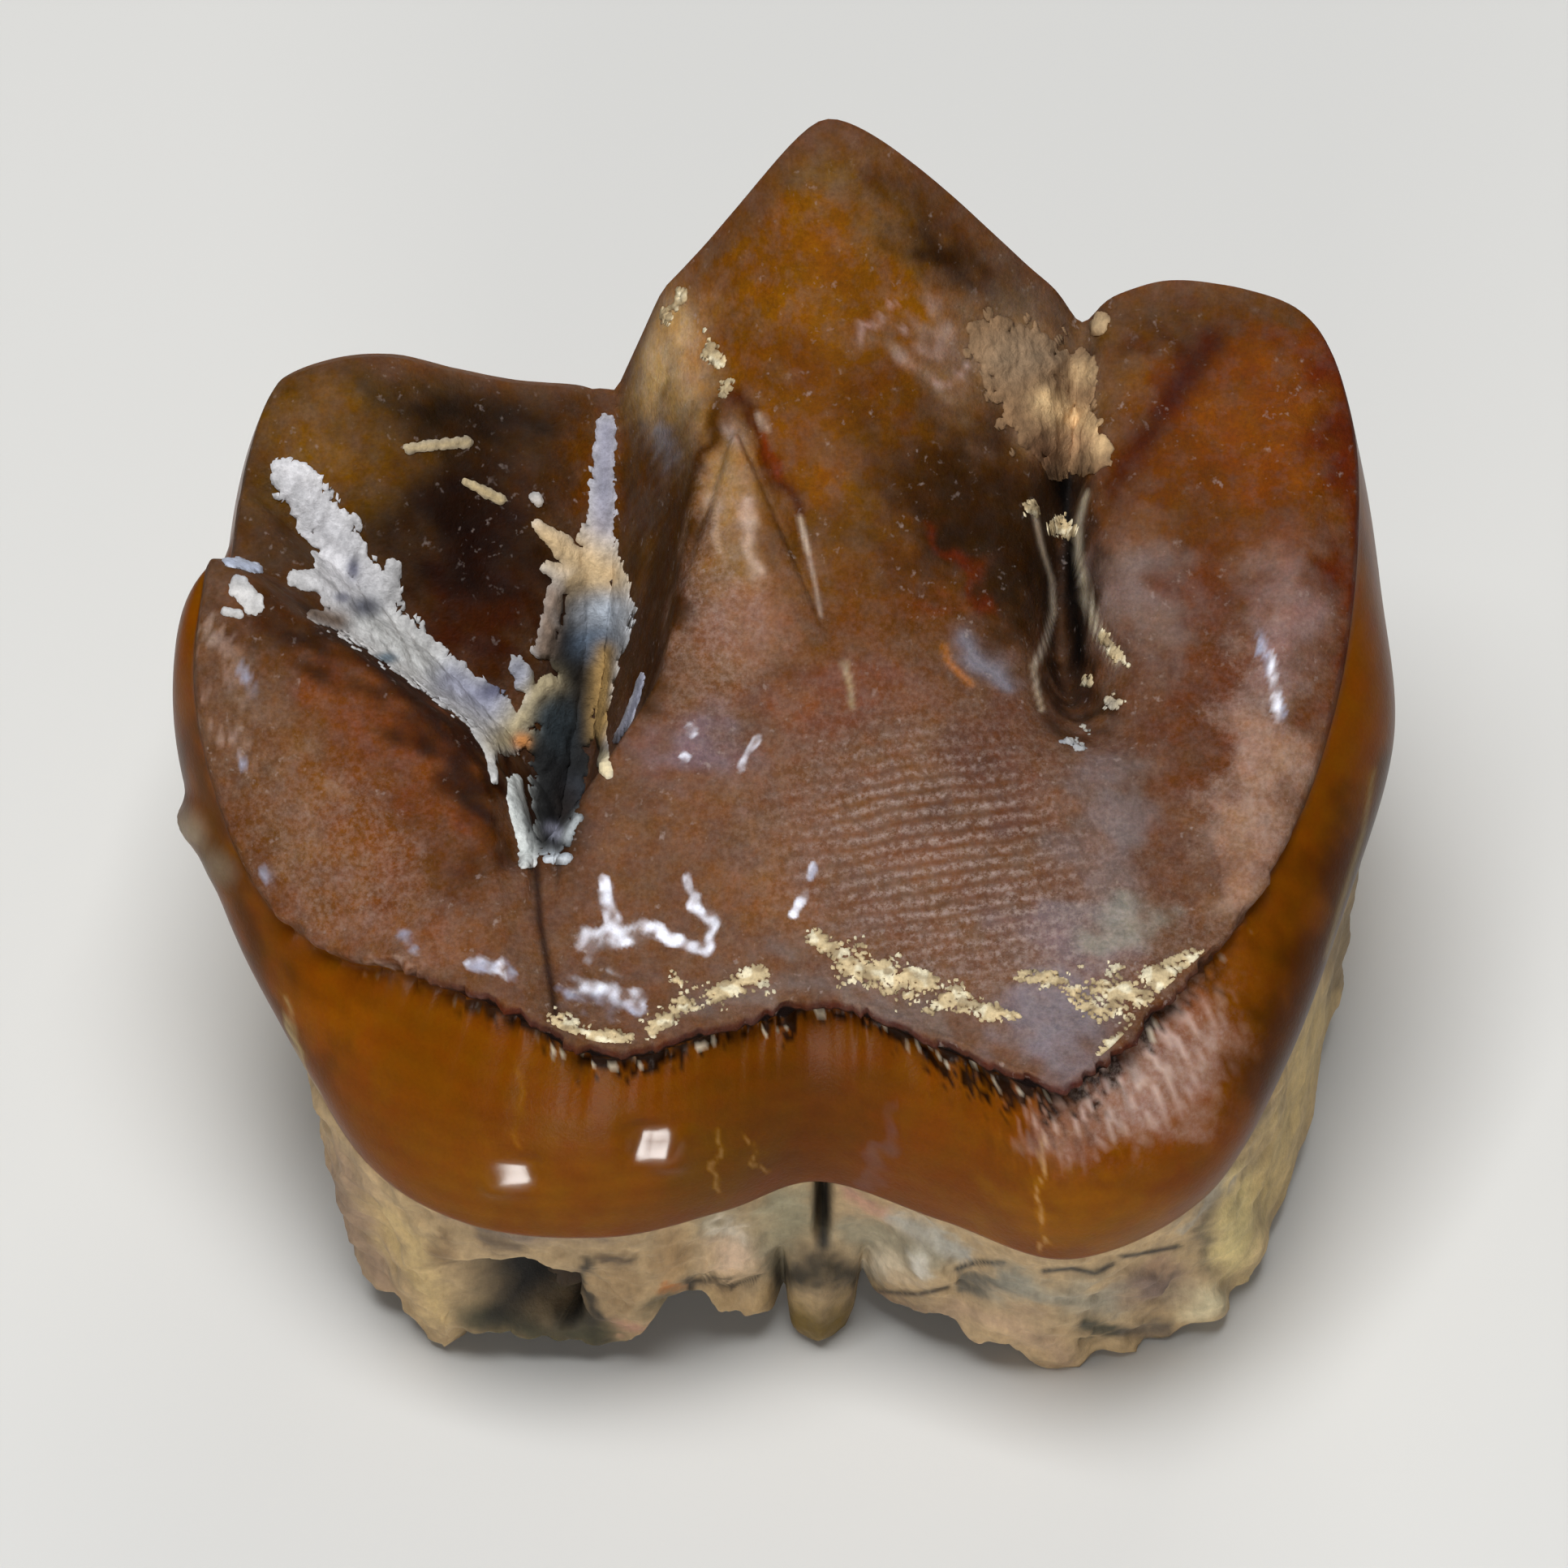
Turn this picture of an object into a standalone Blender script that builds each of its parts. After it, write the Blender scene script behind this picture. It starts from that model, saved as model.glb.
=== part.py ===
"""Fossil cheek tooth of a running rhinoceros: one grown tooth on its broken roots, and the
hardened sediment that is left in its two valleys.

The tooth stands with its chewing side up. X runs along the tooth, Y across it with the worn ramp
at -Y and the high cusps at +Y, and Z up. All shapes are worked out in millimetres and scaled once.
"""
import bpy
import numpy as np
from mathutils import Vector
from mathutils.bvhtree import BVHTree

MM = 0.001

# The size of the tooth
COLUMNS = 108                    # steps round the tooth
TOP_ROWS = 20                    # rings from the middle of the chewing side to its rim
SIDE_ROWS = 5                    # rings down the enamel side
ROOT_ROWS = 7                    # rings down the outside of the root
HOLLOW_ROWS = 4                  # rings up the inside of the root
RIM_HEIGHT = 9.12                # the ramp's near edge above the root tips
RAMP_FLOOR = 9.0                 # the lowest that the ramp falls towards the near lobes
CUSP_GROWTH = 0.056              # how fast the middle cusp rises above the ramp
CUSP_X = 0.72                    # where the middle cusp peaks
LIP_DROP = 0.52                  # height of the step under the near edge
ROOT_WALL = 1.0                  # thickness of the broken root wall
HOLLOW_HEIGHT = 3.5              # roof of the hollow between the roots
SEDIMENT_GAP = 0.3               # clearance between the sediment and the tooth
CENTRE = np.array([0.6, -0.9])   # the middle of the rings

# Stations run anticlockwise from the notch in the near side: four lists share them
RIM_OUTLINE = [
    (.7, -5.60), (2.6, -6.28), (4.5, -7.0), (6.1, -5.55), (7.5, -4.0), (8.4, -2.3), (9.0, -.3),
    (9.3, 1.8), (9.2, 3.6), (8.45, 4.95), (6.4, 5.4), (4.8, 5.3), (2.9, 5.4), (.8, 5.45),
    (-1.6, 5.25), (-3.4, 5.4), (-6.0, 5.5), (-8.0, 5.2), (-8.75, 3.8), (-9.0, 2.2), (-9.35, .7),
    (-9.45, -1.1), (-8.5, -3.15), (-6.6, -4.7), (-4.7, -5.65), (-2.8, -6.45), (-.9, -5.95)]
SIDE_BULGE = [
    (.65, -6.25, 7.3), (2.65, -7.0, 7.2), (4.7, -7.8, 7.1), (6.8, -6.8, 7.3), (8.3, -5.0, 7.9),
    (9.45, -2.6, 8.8), (10.0, -.1, 9.5), (9.9, 2.3, 9.8), (9.6, 4.6, 9.6), (8.6, 6.3, 9.5),
    (6.5, 6.9, 9.5), (4.7, 6.6, 9.5), (2.8, 7.0, 9.6), (.7, 7.2, 10.0), (-1.6, 6.8, 9.6),
    (-3.6, 6.8, 9.4), (-6.2, 7.1, 9.4), (-8.4, 6.3, 9.4), (-9.3, 4.5, 9.6), (-9.6, 2.6, 9.9),
    (-9.97, .4, 10.8), (-9.85, -1.0, 9.4), (-8.8, -3.3, 7.6), (-7.1, -5.5, 7.2),
    (-5.2, -6.7, 7.1), (-2.9, -7.2, 7.0), (-.9, -6.75, 7.1)]
ENAMEL_EDGE = [
    (.59, -6.3, 5.4), (2.6, -7.0, 5.1), (4.7, -7.75, 5.0), (6.9, -6.65, 5.4), (8.2, -4.6, 6.1),
    (9.05, -1.9, 7.0), (9.65, .6, 7.5), (9.8, 2.8, 7.2), (9.5, 5.0, 6.6), (8.5, 6.8, 6.1),
    (6.5, 7.5, 5.7), (4.6, 7.1, 5.9), (2.7, 7.5, 5.7), (.6, 7.7, 5.6), (-1.6, 7.3, 5.8),
    (-3.7, 7.3, 5.8), (-6.2, 7.6, 5.7), (-8.4, 6.8, 6.1), (-9.4, 4.9, 6.7), (-9.6, 2.8, 7.3),
    (-9.65, 1.0, 7.7), (-9.45, -.6, 7.5), (-8.4, -3.2, 6.5), (-7.0, -5.8, 5.6),
    (-5.2, -7.05, 5.1), (-2.9, -7.3, 5.0), (-1.0, -6.8, 5.15)]

# Down the root: the height of the broken edge at a station, with the feet at 0
BROKEN_EDGE = [
    (0, .15), (.35, .3), (.5, 1.7), (1.1, 1.6), (1.3, 1.2), (1.5, .6), (1.8, .65), (2.05, .2),
    (2.2, 0), (2.55, 0), (2.75, .3), (3.05, .05), (3.5, .3), (4.2, .3), (5.2, .8), (6.1, 1.7),
    (7.2, 1.0), (8.0, 0), (8.6, 0), (9.3, .5), (10.4, 2.3), (11.6, 2.7), (12.4, 2.4), (13.4, 2.8),
    (14.5, 2.1), (15.7, .3), (16.0, 0), (16.8, 0), (17.6, .8), (19.1, 2.4), (20.2, 2.2),
    (21.1, 2.4), (22.3, 1.6), (22.6, .7), (22.72, 0), (23.28, 0), (23.48, 1.1), (24.1, 1.1),
    (24.35, .7), (24.9, .7), (25.1, 2.1), (25.45, 2.4), (25.65, 2.8), (25.78, 1.3), (26.4, 1.4),
    (26.66, .4), (27, .15)]
ROOT_LEAN = [
    (0, .13), (.6, .28), (1.2, .28), (2.3, .37), (3, .22), (4, .02), (6, .05), (9, .42), (13, .50),
    (17, .42), (20, .30), (22, .30), (23, .23), (24, .28), (24.6, .26), (26.3, .24), (27, .13)]
ROOT_NECK = [
    (0, .10), (3.2, .10), (4.4, -.08), (6.6, -.10), (8, .10), (20, .10), (21, .3), (22.2, .3),
    (22.8, .1), (27, .1)]
STATIONS = len(ENAMEL_EDGE)
ROOT_HOLLOW = (24.05, .30, 2.1, 1.25)    # station, width in stations, middle height, half height
CLEFTS = (.5, 26.5)                      # stations of the clefts beside the near knob

# Plan outlines of the sediment, each seen from its middle
LEFT_SEDIMENT = [
    (-3.45, -1.5), (-3.2, -.3), (-3.05, 1.0), (-2.95, 2.4), (-2.85, 3.9), (-2.95, 4.5), (-3.15, 3.9),
    (-3.55, 2.4), (-4.3, 1.75), (-5.4, 2.0), (-6.9, 2.75), (-8.2, 3.45), (-8.3, 3.1), (-7.1, 1.9),
    (-5.6, 1.0), (-4.5, .2), (-4.1, -.8)]
LEFT_SEDIMENT_MIDDLE = (-3.75, .7)
RIGHT_SEDIMENT = [
    (4.65, 2.55), (5.1, 3.2), (5.25, 4.1), (5.0, 4.75), (4.3, 4.7), (3.5, 4.4), (3.2, 3.7),
    (3.7, 3.0)]
RIGHT_SEDIMENT_MIDDLE = (4.4, 3.75)


def closed_curve(stations, s):
    """Points of the closed smooth curve through the stations (Catmull-Rom), at station numbers s."""
    p = np.asarray(stations, float)
    n = len(p)
    i = np.floor(s).astype(int) % n
    f = (s - np.floor(s))[:, None]
    a, b, c, d = p[i - 1], p[i], p[(i + 1) % n], p[(i + 2) % n]
    return b + .5 * f * (c - a + f * (2 * a - 5 * b + 4 * c - d + f * (3 * (b - c) + d - a)))


def curve(v, pairs):
    """Height of the smooth curve through the pairs (cubic with mean slopes), flat past its ends."""
    x, y = np.asarray(pairs, float).T
    m = np.gradient(y, x)
    v = np.clip(v, x[0], x[-1])
    i = np.clip(np.searchsorted(x, v) - 1, 0, len(x) - 2)
    h = x[i + 1] - x[i]
    f = (v - x[i]) / h
    rise = f * f * (3 - 2 * f)
    return (y[i] + (y[i + 1] - y[i]) * rise + h * m[i] * f * (1 - f) ** 2
            - h * m[i + 1] * f * f * (1 - f))


def straight(v, pairs):
    """Height of the straight-sided line through the pairs."""
    x, y = np.asarray(pairs, float).T
    return np.interp(v, x, y)


def step(v, low, high):
    """0 below low, 1 above high, with a smooth rise between them."""
    f = np.clip((v - low) / (high - low), 0, 1)
    return f * f * (3 - 2 * f)


def past(v):
    """v where it is above 0, else 0."""
    return np.clip(v, 0, None)


def soft_past(v, size):
    """v where it is well above 0, 0 where it is well below, with a round bend of this size."""
    return .5 * (v + np.sqrt(v * v + size * size))


def higher(a, b, size):
    """The higher of two surfaces, with the crease between them filled over this size."""
    h = past(size - np.abs(a - b)) / size
    return np.maximum(a, b) + h * h * size / 4


def lower(a, b, size):
    """The lower of two surfaces, with the edge between them rounded over this size."""
    return -higher(-a, -b, size)


def bell(v, width):
    """1 at v = 0, falling off on both sides."""
    return np.exp(-(v / width) ** 2)


def cusp_tongue(x, y):
    """Low tongue on the middle cusp, pointed at its far end, with a fine groove along each side."""
    tip_x, tip_y = -.82, 2.65
    run = tip_y - y
    left = tip_x - .44 * run
    right = tip_x + .52 * run
    across = (x - left) / np.maximum(right - left, .05)
    fade = step(y, -1.2, .6) * (1 - step(y, 2.2, tip_y))
    inside = past(1 - (2 * across - 1) ** 2)
    return fade * (.28 * inside - .10 * (bell(x - left, .22) + bell(x - right, .22)))


def ramp_and_cusps(x, y):
    """The worn ramp that rises from the near rim, its middle cusp, and the right lobe beyond the slit."""
    slope = curve(x, [(-9, .62), (-4, .57), (2, .55), (5, .50), (9.6, .47)])
    sag = .009 * x * x * straight(y, [(-6, .2), (0, .8), (5, .1)])
    ramp = higher(RIM_HEIGHT + slope * (y + 5.75) - sag, RAMP_FLOOR + 0 * x, .9)
    ramp = ramp - curve(y, [(-4, 0), (0, .08), (5.5, .45)]) * soft_past(.2 - x, .6)
    half_width = 3.3 + .6 * np.tanh((x - CUSP_X) / .8)
    peak = 1 - np.sqrt(((x - CUSP_X) / half_width) ** 2 + .012)
    top = ramp + CUSP_GROWTH * past(y + 2.2) ** 2 * soft_past(peak, .1)
    # the middle valley with the narrow slit along its floor
    slit_x = curve(y, [(-4, 5.1), (-1, 4.85), (.4, 4.62), (2, 4.55), (3.5, 4.7), (5.5, 4.9)])
    valley = curve(y, [(-4.5, 0), (-2.2, .1), (.2, .55), (2.5, .75), (5, .6)])
    top = top - valley * bell(x - slit_x, np.where(x < slit_x, 2.0, 1.1))
    slit = curve(y, [(-3, 0), (-1.8, 0), (-.9, .5), (.3, 1.4), (2.5, 1.8), (3.6, 1.2), (4.6, .7), (6, .55)])
    slit_width = curve(y, [(-3, .8), (-.9, .7), (.2, .5), (1.5, .36), (3.5, .30), (6, .30)])
    top = top - slit * bell(x - slit_x, slit_width)
    # the rounded ridge down the right lobe
    ridge_x = curve(y, [(-5, 7.3), (-2.6, 7.95), (-.4, 8.15), (1.9, 8.4), (5.5, 8.35)])
    ridge = curve(y, [(-5, 0), (-3, .2), (-.4, .4), (1.9, .4), (4.5, .1), (6, 0)])
    top = top + ridge * bell(x - ridge_x, .7) + cusp_tongue(x, y)
    # the middle cusp falls off steeply into the left valley
    edge_x = curve(y, [(-8, -7.5), (-5, -6.4), (-4.1, -5.2), (-3.3, -4.0), (-2.2, -3.2), (-1, -2.8),
                       (1, -2.4), (3, -2.05), (4.5, -2.3), (6, -2.5)])
    fall = curve(y, [(-6, .5), (-4, 1.0), (-3, 2.3), (-2, 3.2), (6, 3.2)])
    return top - fall * soft_past(edge_x - x, .25)


def left_lobes(x, y):
    """The left lobe, the block behind it, and the crease between them.

    u and w are X and Y turned by 30 degrees, so that the lobe's crest and the crease run along u.
    """
    u = .866 * x - .5 * y
    w = .5 * x + .866 * y
    crest_w = curve(u, [(-11, -3.9), (-5, -3.9), (-3.9, -4.05), (-2.8, -4.7), (-1.9, -6.0), (0, -8.5)])
    crest = curve(u, [(-10.5, 12.0), (-9.2, 12.6), (-8.2, 12.6), (-6.5, 12.15), (-5.1, 11.7),
                      (-3.9, 11.2), (-2.8, 10.7), (-1.9, 10.0), (0, 9.0)])
    rounding = curve(u, [(-8, .15), (-5.8, .15), (-4.2, .09), (-2.9, .04)])
    back_fall = curve(u, [(-11, 1.0), (-4, 1.0), (-2.8, .6), (-1.9, .1), (0, 0)])
    near = past(crest_w - w)
    lobe = crest - .38 * near - rounding * near ** 2 - back_fall * past(w - crest_w)
    block_y = curve(x, [(-10, 4.4), (-8.5, 4.9), (-6.5, 5.2), (-2, 5.1)])
    block_top = curve(x, [(-10, 11.4), (-9.2, 12.0), (-8.4, 12.4), (-6.6, 12.75), (-5.4, 12.35),
                          (-4.4, 12.1), (-2, 12.1)])
    front = past(block_y - y)
    bend = curve(x, [(-10, .10), (-6.8, .05), (-5.0, .30), (-3.5, .34), (-2, .25)])
    block = block_top - bend * front - .10 * front ** 2 - .8 * past(y - block_y)
    block = block - .6 * bell(np.hypot((x + 4.9) / 1.1, (y - 3.0) / 1.2), 1)
    block = block + .25 * bell(np.hypot((x + 7.3) / 1.1, y - 3.8), 1)
    floor_w = curve(u, [(-11, -1.5), (-5.4, -1.45), (-4.2, -1.4), (-3.35, -1.7), (-2.7, -2.6), (-2, -3.4)])
    floor = curve(u, [(-10.4, 12.2), (-8.8, 11.4), (-7.2, 10.3), (-5.4, 9.0), (-4.2, 7.8), (-3.35, 7.0),
                      (-2.7, 6.9), (-2.0, 7.2)])
    bank = curve(u, [(-11, .9), (-6, 1.1), (-4.2, 1.6), (-3, 2.3), (-2, 2.8)])
    beyond = past(w - floor_w)
    crease = floor + bank * past(floor_w - w - .1) + .9 * beyond - .02 * beyond ** 2
    return lower(higher(lobe, block, .4), crease, .35)


def chewing_surface(x, y):
    """Height of the chewing side: ramp, lobes and block, with the pit and its arm cut between them."""
    surface = higher(ramp_and_cusps(x, y), left_lobes(x, y), .5)
    arm_x = curve(y, [(-3, -3.9), (-.9, -3.7), (1.2, -3.4), (2.3, -3.15), (3.6, -3.0), (6, -2.95)])
    arm_floor = curve(y, [(-2.6, 10.0), (-1.6, 8.0), (-.9, 6.9), (.2, 6.8), (1.2, 7.2), (2.3, 8.3),
                          (3.6, 10.1), (4.8, 11.5), (6.2, 12.0)])
    bank = curve(y, [(-3, 5.0), (-.9, 3.4), (.5, 2.4), (2, 1.6), (4, 1.0), (6, .8)])
    arm = arm_floor + bank * past(arm_x - x - .2) + 3.4 * past(x - arm_x - .2)
    return lower(surface, arm, .5)


def ring(points, heights):
    """Plan points with their heights, as one ring of the surface."""
    return np.column_stack([points[:, :2], heights])


def crown_rings(s):
    """Rings from the middle of the chewing side out to the rim, over the lip and down the enamel."""
    rim = closed_curve(RIM_OUTLINE, s)
    bulge = closed_curve(SIDE_BULGE, s)
    edge = closed_curve(ENAMEL_EDGE, s)
    inner = .35
    rings = []
    for row in range(TOP_ROWS + 1):
        plan = CENTRE + (row + inner) / (TOP_ROWS + inner) * (rim - CENTRE)
        rings.append(ring(plan, chewing_surface(plan[:, 0], plan[:, 1])))
    outward = outward_of(edge)
    # the lip overhangs only along the near side, and fades out round both ends of it
    turn = (s / STATIONS + .5) % 1
    lip = (step(turn, .28, .36) * (1 - step(turn, .62, .70)))[:, None]
    brink = rings[-1]
    for out, drop in ((.10, .14), (-.14, LIP_DROP)):
        plain = brink + outward * .12 - [0, 0, .5 * drop]
        rings.append(plain + lip * (outward * (out - .12) - [0, 0, .5 * drop]))
    top = rings[-1]
    control = 2 * bulge - .5 * (top + edge)
    for row in range(1, SIDE_ROWS + 1):
        f = row / SIDE_ROWS
        rings.append((1 - f) ** 2 * top + 2 * f * (1 - f) * control + f * f * edge)
    return rings


def outward_of(edge):
    """Level unit arrows from the middle of the tooth through each point of the enamel edge."""
    arrows = ring(edge[:, :2] - CENTRE, np.zeros(len(edge)))
    return arrows / np.linalg.norm(arrows, axis=1)[:, None]


def near_station(s, station, width):
    """A bell round one station, also where the count starts again."""
    return sum(bell(s - station - turn, width) for turn in (-STATIONS, 0, STATIONS))


def root_rings(s):
    """Rings down the outside of the roots to their broken edge, then up the hollow inside them."""
    edge = closed_curve(ENAMEL_EDGE, s)
    outward = outward_of(edge)
    bottom = straight(s, BROKEN_EDGE)
    flutes = .14 * np.sin(2 * np.pi * s / 1.35 + .6) + .08 * np.sin(2 * np.pi * s / .6)
    station, width, middle, half = ROOT_HOLLOW
    rings = []
    for row in range(1, ROOT_ROWS + 1):
        f = row / ROOT_ROWS
        z = edge[:, 2] * (1 - f) + bottom * f
        depth = edge[:, 2] - z
        neck = 1 - np.exp(-depth / .18)
        inset = neck * (straight(s, ROOT_NECK) + flutes * np.clip(depth / 2, 0, 1))
        inset = inset + straight(s, ROOT_LEAN) * depth
        # the hollow broken into the near left root, and the clefts on both sides of the near knob
        inset = inset + 2.0 * near_station(s, station, width) * np.exp(-((z - middle) / half) ** 4)
        inset = inset + .5 * neck * sum(near_station(s, cleft, .1) for cleft in CLEFTS)
        rings.append(ring(edge - outward * inset[:, None], z))
    foot = rings[-1]
    for row in range(HOLLOW_ROWS + 1):
        f = row / HOLLOW_ROWS
        plan = foot - outward * (ROOT_WALL + 1.6 * f * f)
        rings.append(ring(plan, bottom + (HOLLOW_HEIGHT - bottom) * np.sin(.5 * np.pi * f)))
    return rings


def closed_mesh(name, rings, first_point, last_point):
    """A closed body from rings of equal length, with a pole point at either end."""
    count = len(rings[0])
    points = np.vstack(rings + [[first_point], [last_point]])
    here = np.arange(count)
    onward = (here + 1) % count
    faces = []
    for low in range(0, (len(rings) - 1) * count, count):
        faces += np.column_stack([low + here, low + count + here, low + count + onward,
                                  low + onward]).tolist()
    first, last = len(points) - 2, len(points) - 1
    end = (len(rings) - 1) * count
    faces += np.column_stack([np.full(count, first), here, onward]).tolist()
    faces += np.column_stack([np.full(count, last), end + onward, end + here]).tolist()
    mesh = bpy.data.meshes.new(name)
    mesh.from_pydata((points * MM).tolist(), [], faces)
    mesh.shade_smooth()
    mesh.validate()
    return mesh


def tooth_mesh():
    """Crown and roots as one body, moved so that its box is centred over the origin."""
    s = np.arange(COLUMNS) * STATIONS / COLUMNS
    rings = crown_rings(s) + root_rings(s)
    every = np.vstack(rings)
    shift = -.5 * (every.min(axis=0) + every.max(axis=0))
    shift[2] = -every[:, 2].min()
    rings = [one + shift for one in rings]
    middle = chewing_surface(*CENTRE[:, None])[0]
    top = np.append(CENTRE, middle) + shift
    roof = np.append(CENTRE, HOLLOW_HEIGHT + .2) + shift
    return closed_mesh("tooth", rings, top, roof), shift


def sediment_mesh(name, outline, middle, swell, span, tree, shift):
    """A crust over a plan outline: its underside follows the tooth at the gap, its top swells.

    The top follows the tooth too, or where span is 1 it bridges from the border to the middle.
    """
    columns, rows = 3 * len(outline), 4
    s = np.arange(columns) / 3
    middle = np.asarray(middle) + shift[:2]
    border = closed_curve(outline, s) + shift[:2]
    border_ground = ground_under(tree, border)
    middle_ground = ground_under(tree, middle[None])[0]
    crown_point = middle_ground + span * past(border_ground.mean() - middle_ground)
    skin = SEDIMENT_GAP + .15
    under, over = [], []
    for row in range(rows):
        f = (row + .5) / (rows - .5)
        plan = middle + f * (border - middle)
        ground = ground_under(tree, plan)
        bridge = crown_point + f * (border_ground - crown_point)
        level = ground + span * past(bridge - ground)
        under.append(ring(plan, ground + SEDIMENT_GAP))
        over.append(ring(plan, level + skin + swell * np.sqrt(1 - f ** 3)))
    top = np.append(middle, crown_point + skin + swell)
    return closed_mesh(name, over + under[::-1], top, np.append(middle, middle_ground + SEDIMENT_GAP))


def ground_under(tree, plan):
    """Height of the tooth's surface in millimetres, straight below each plan point."""
    down = Vector((0, 0, -1))
    hits = [tree.ray_cast(Vector((x * MM, y * MM, .05)), down)[0] for x, y in plan]
    return np.array([hit.z for hit in hits]) / MM


def finish(name, colour, roughness):
    """A plain material: colour, roughness, not metallic."""
    material = bpy.data.materials.new(name)
    material.use_nodes = True
    shader = material.node_tree.nodes["Principled BSDF"]
    shader.inputs["Base Color"].default_value = (*colour, 1)
    shader.inputs["Roughness"].default_value = roughness
    shader.inputs["Metallic"].default_value = 0
    material.diffuse_color = (*colour, 1)
    return material


def add_piece(name, mesh, material, collection):
    """One object of this name, with its material, in the collection."""
    mesh.materials.append(material)
    piece = bpy.data.objects.new(name, mesh)
    collection.objects.link(piece)


def build():
    """Clear the scene, then make the tooth and the two pieces of sediment."""
    for thing in list(bpy.data.objects):
        bpy.data.objects.remove(thing)
    collection = bpy.data.collections.new("fossil_rhino_tooth")
    bpy.context.scene.collection.children.link(collection)
    mesh, shift = tooth_mesh()
    tree = BVHTree.FromPolygons([v.co for v in mesh.vertices], [p.vertices for p in mesh.polygons])
    left = sediment_mesh("valley_sediment_left", LEFT_SEDIMENT, LEFT_SEDIMENT_MIDDLE, .35, 0, tree, shift)
    right = sediment_mesh("valley_sediment_right", RIGHT_SEDIMENT, RIGHT_SEDIMENT_MIDDLE, .35, 1, tree, shift)
    add_piece("tooth", mesh, finish("fossil_enamel", (.22, .095, .025), .28), collection)
    add_piece("valley_sediment_left", left, finish("pale_sediment", (.48, .47, .43), .85), collection)
    add_piece("valley_sediment_right", right, finish("tan_sediment", (.36, .25, .14), .9), collection)


build()
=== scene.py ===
import bpy
import numpy as np
from mathutils import Matrix, Vector


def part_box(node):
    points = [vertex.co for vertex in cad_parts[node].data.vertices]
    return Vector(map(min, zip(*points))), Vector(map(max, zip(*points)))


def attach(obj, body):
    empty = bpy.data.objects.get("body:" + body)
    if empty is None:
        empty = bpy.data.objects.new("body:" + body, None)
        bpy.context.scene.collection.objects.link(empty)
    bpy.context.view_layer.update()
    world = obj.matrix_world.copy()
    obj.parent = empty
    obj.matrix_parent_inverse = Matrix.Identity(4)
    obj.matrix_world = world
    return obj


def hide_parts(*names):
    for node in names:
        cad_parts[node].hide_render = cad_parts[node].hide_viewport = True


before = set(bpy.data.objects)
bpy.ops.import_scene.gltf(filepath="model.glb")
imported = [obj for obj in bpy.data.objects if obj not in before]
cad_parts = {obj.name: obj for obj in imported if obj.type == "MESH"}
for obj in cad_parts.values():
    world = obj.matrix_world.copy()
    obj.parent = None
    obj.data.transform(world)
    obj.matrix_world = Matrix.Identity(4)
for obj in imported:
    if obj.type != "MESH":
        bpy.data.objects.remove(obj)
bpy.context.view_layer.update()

# Crown: the enamel cap of the tooth, worn into a ramp at the near side, with a high middle cusp,
# a plain lobe on the right and two lobes with a deep crease between them on the left. It grew as
# one piece with the roots; mineral has stained the enamel brown on top and amber down its sides.
MM = 0.001
COLUMNS = 552
TOP_ROWS = 132
SIDE_ROWS = 34
NEAR_CROWDING = 0.35             # how much closer the columns stand along the near side
RIM_HEIGHT = 9.12
RAMP_FLOOR = 9.0
CUSP_GROWTH = 0.056
CUSP_X = 0.72
LIP_DROP = 0.52
LIP_ROWS = 8
LIP_TOP_ROWS = 3                 # how many of them look like the top, and how many like the side
LIP_SIDE_ROWS = 2
CAP_FLOOR = 4.4                  # where the cap is closed inside, hidden between the roots
RIDGE_SPACING = .2               # spacing of the growth lines on the ramp
ROW_SPACING = .42                # spacing of the growth rows round the sides
INSIDE = .012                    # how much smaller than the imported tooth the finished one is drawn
# the wet-looking spots are glossy, and their colour is tinted bluish white as a painted glint
GLOSSY_BANDS = [                 # across, up and half width of the spots that look wet
    [(-1.6, -1.5, .10), (-1.38, -1.9, .15), (-1.15, -2.25, .15), (-1.25, -2.7, .10)],
    [(-1.3, -2.65, .12), (-2, -2.4, .16), (-2.7, -2.35, .24), (-3.3, -2.6, .2)],
    [(-2.92, -1.5, .09), (-2.82, -2.2, .18)], [(-3.45, -3.35, .26), (-2.8, -3.42, .34), (-2.4, -3.5, .2)],
    [(-5.1, -2.85, .14), (-4.5, -2.98, .17)], [(-5.8, -3.4, .12), (-4.9, -3.55, .16)],
    [(-6.15, -2.4, .12), (-6, -2.6, .10)], [(7.75, 2.5, .08), (7.92, 1.9, .12), (8.15, .95, .12)],
    [(-1.55, .95, .09), (-1.5, .85, .09)], [(-.47, .72, .1), (-.7, .3, .08)],
    [(-1.65, .5, .1), (-1.6, .45, .08)], [(.48, -1.25, .08), (.42, -1.45, .09)],
    [(.35, -1.75, .09), (.15, -2.05, .1)], [(-8.45, -1.42, .12), (-8.4, -1.5, .12)],
    [(-8.85, .4, .1), (-8.8, .3, .1)], [(-8.8, 1.9, .12), (-8.6, 1.5, .1)]]
FLAT_SPOTS = [                   # across, up, width, height and two slopes of flats that catch the light
    (-4.43, -6.34, .44, .30, .20, .5), (-2.08, -5.84, .50, .36, -.42, .40)]
FAR_FOLDS = [                    # station, width and depth of the upright hollows in the far side
    (8.7, .5, .25), (11.3, .55, .42), (14.5, .8, .5), (18.5, .6, .3)]
LUMP_HEIGHT = 8.9                # height of the lumps of mineral on the left side
SIDE_LUMPS = [                   # across, up, width, height and how far each stands out
    (-9.75, -.7, .4, .42, .3), (-9.3, -1.35, .45, .4, .14)]
CENTRE = np.array([0.6, -0.9])
TO_VIEWER = np.array([0, -.643, .766])   # the viewer looks from 50 degrees above the near side
VIEW_UP = np.array([0, .766, .643])
VIEW_MIDDLE = 5.12               # how far up the tooth the middle of the picture is

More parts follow.
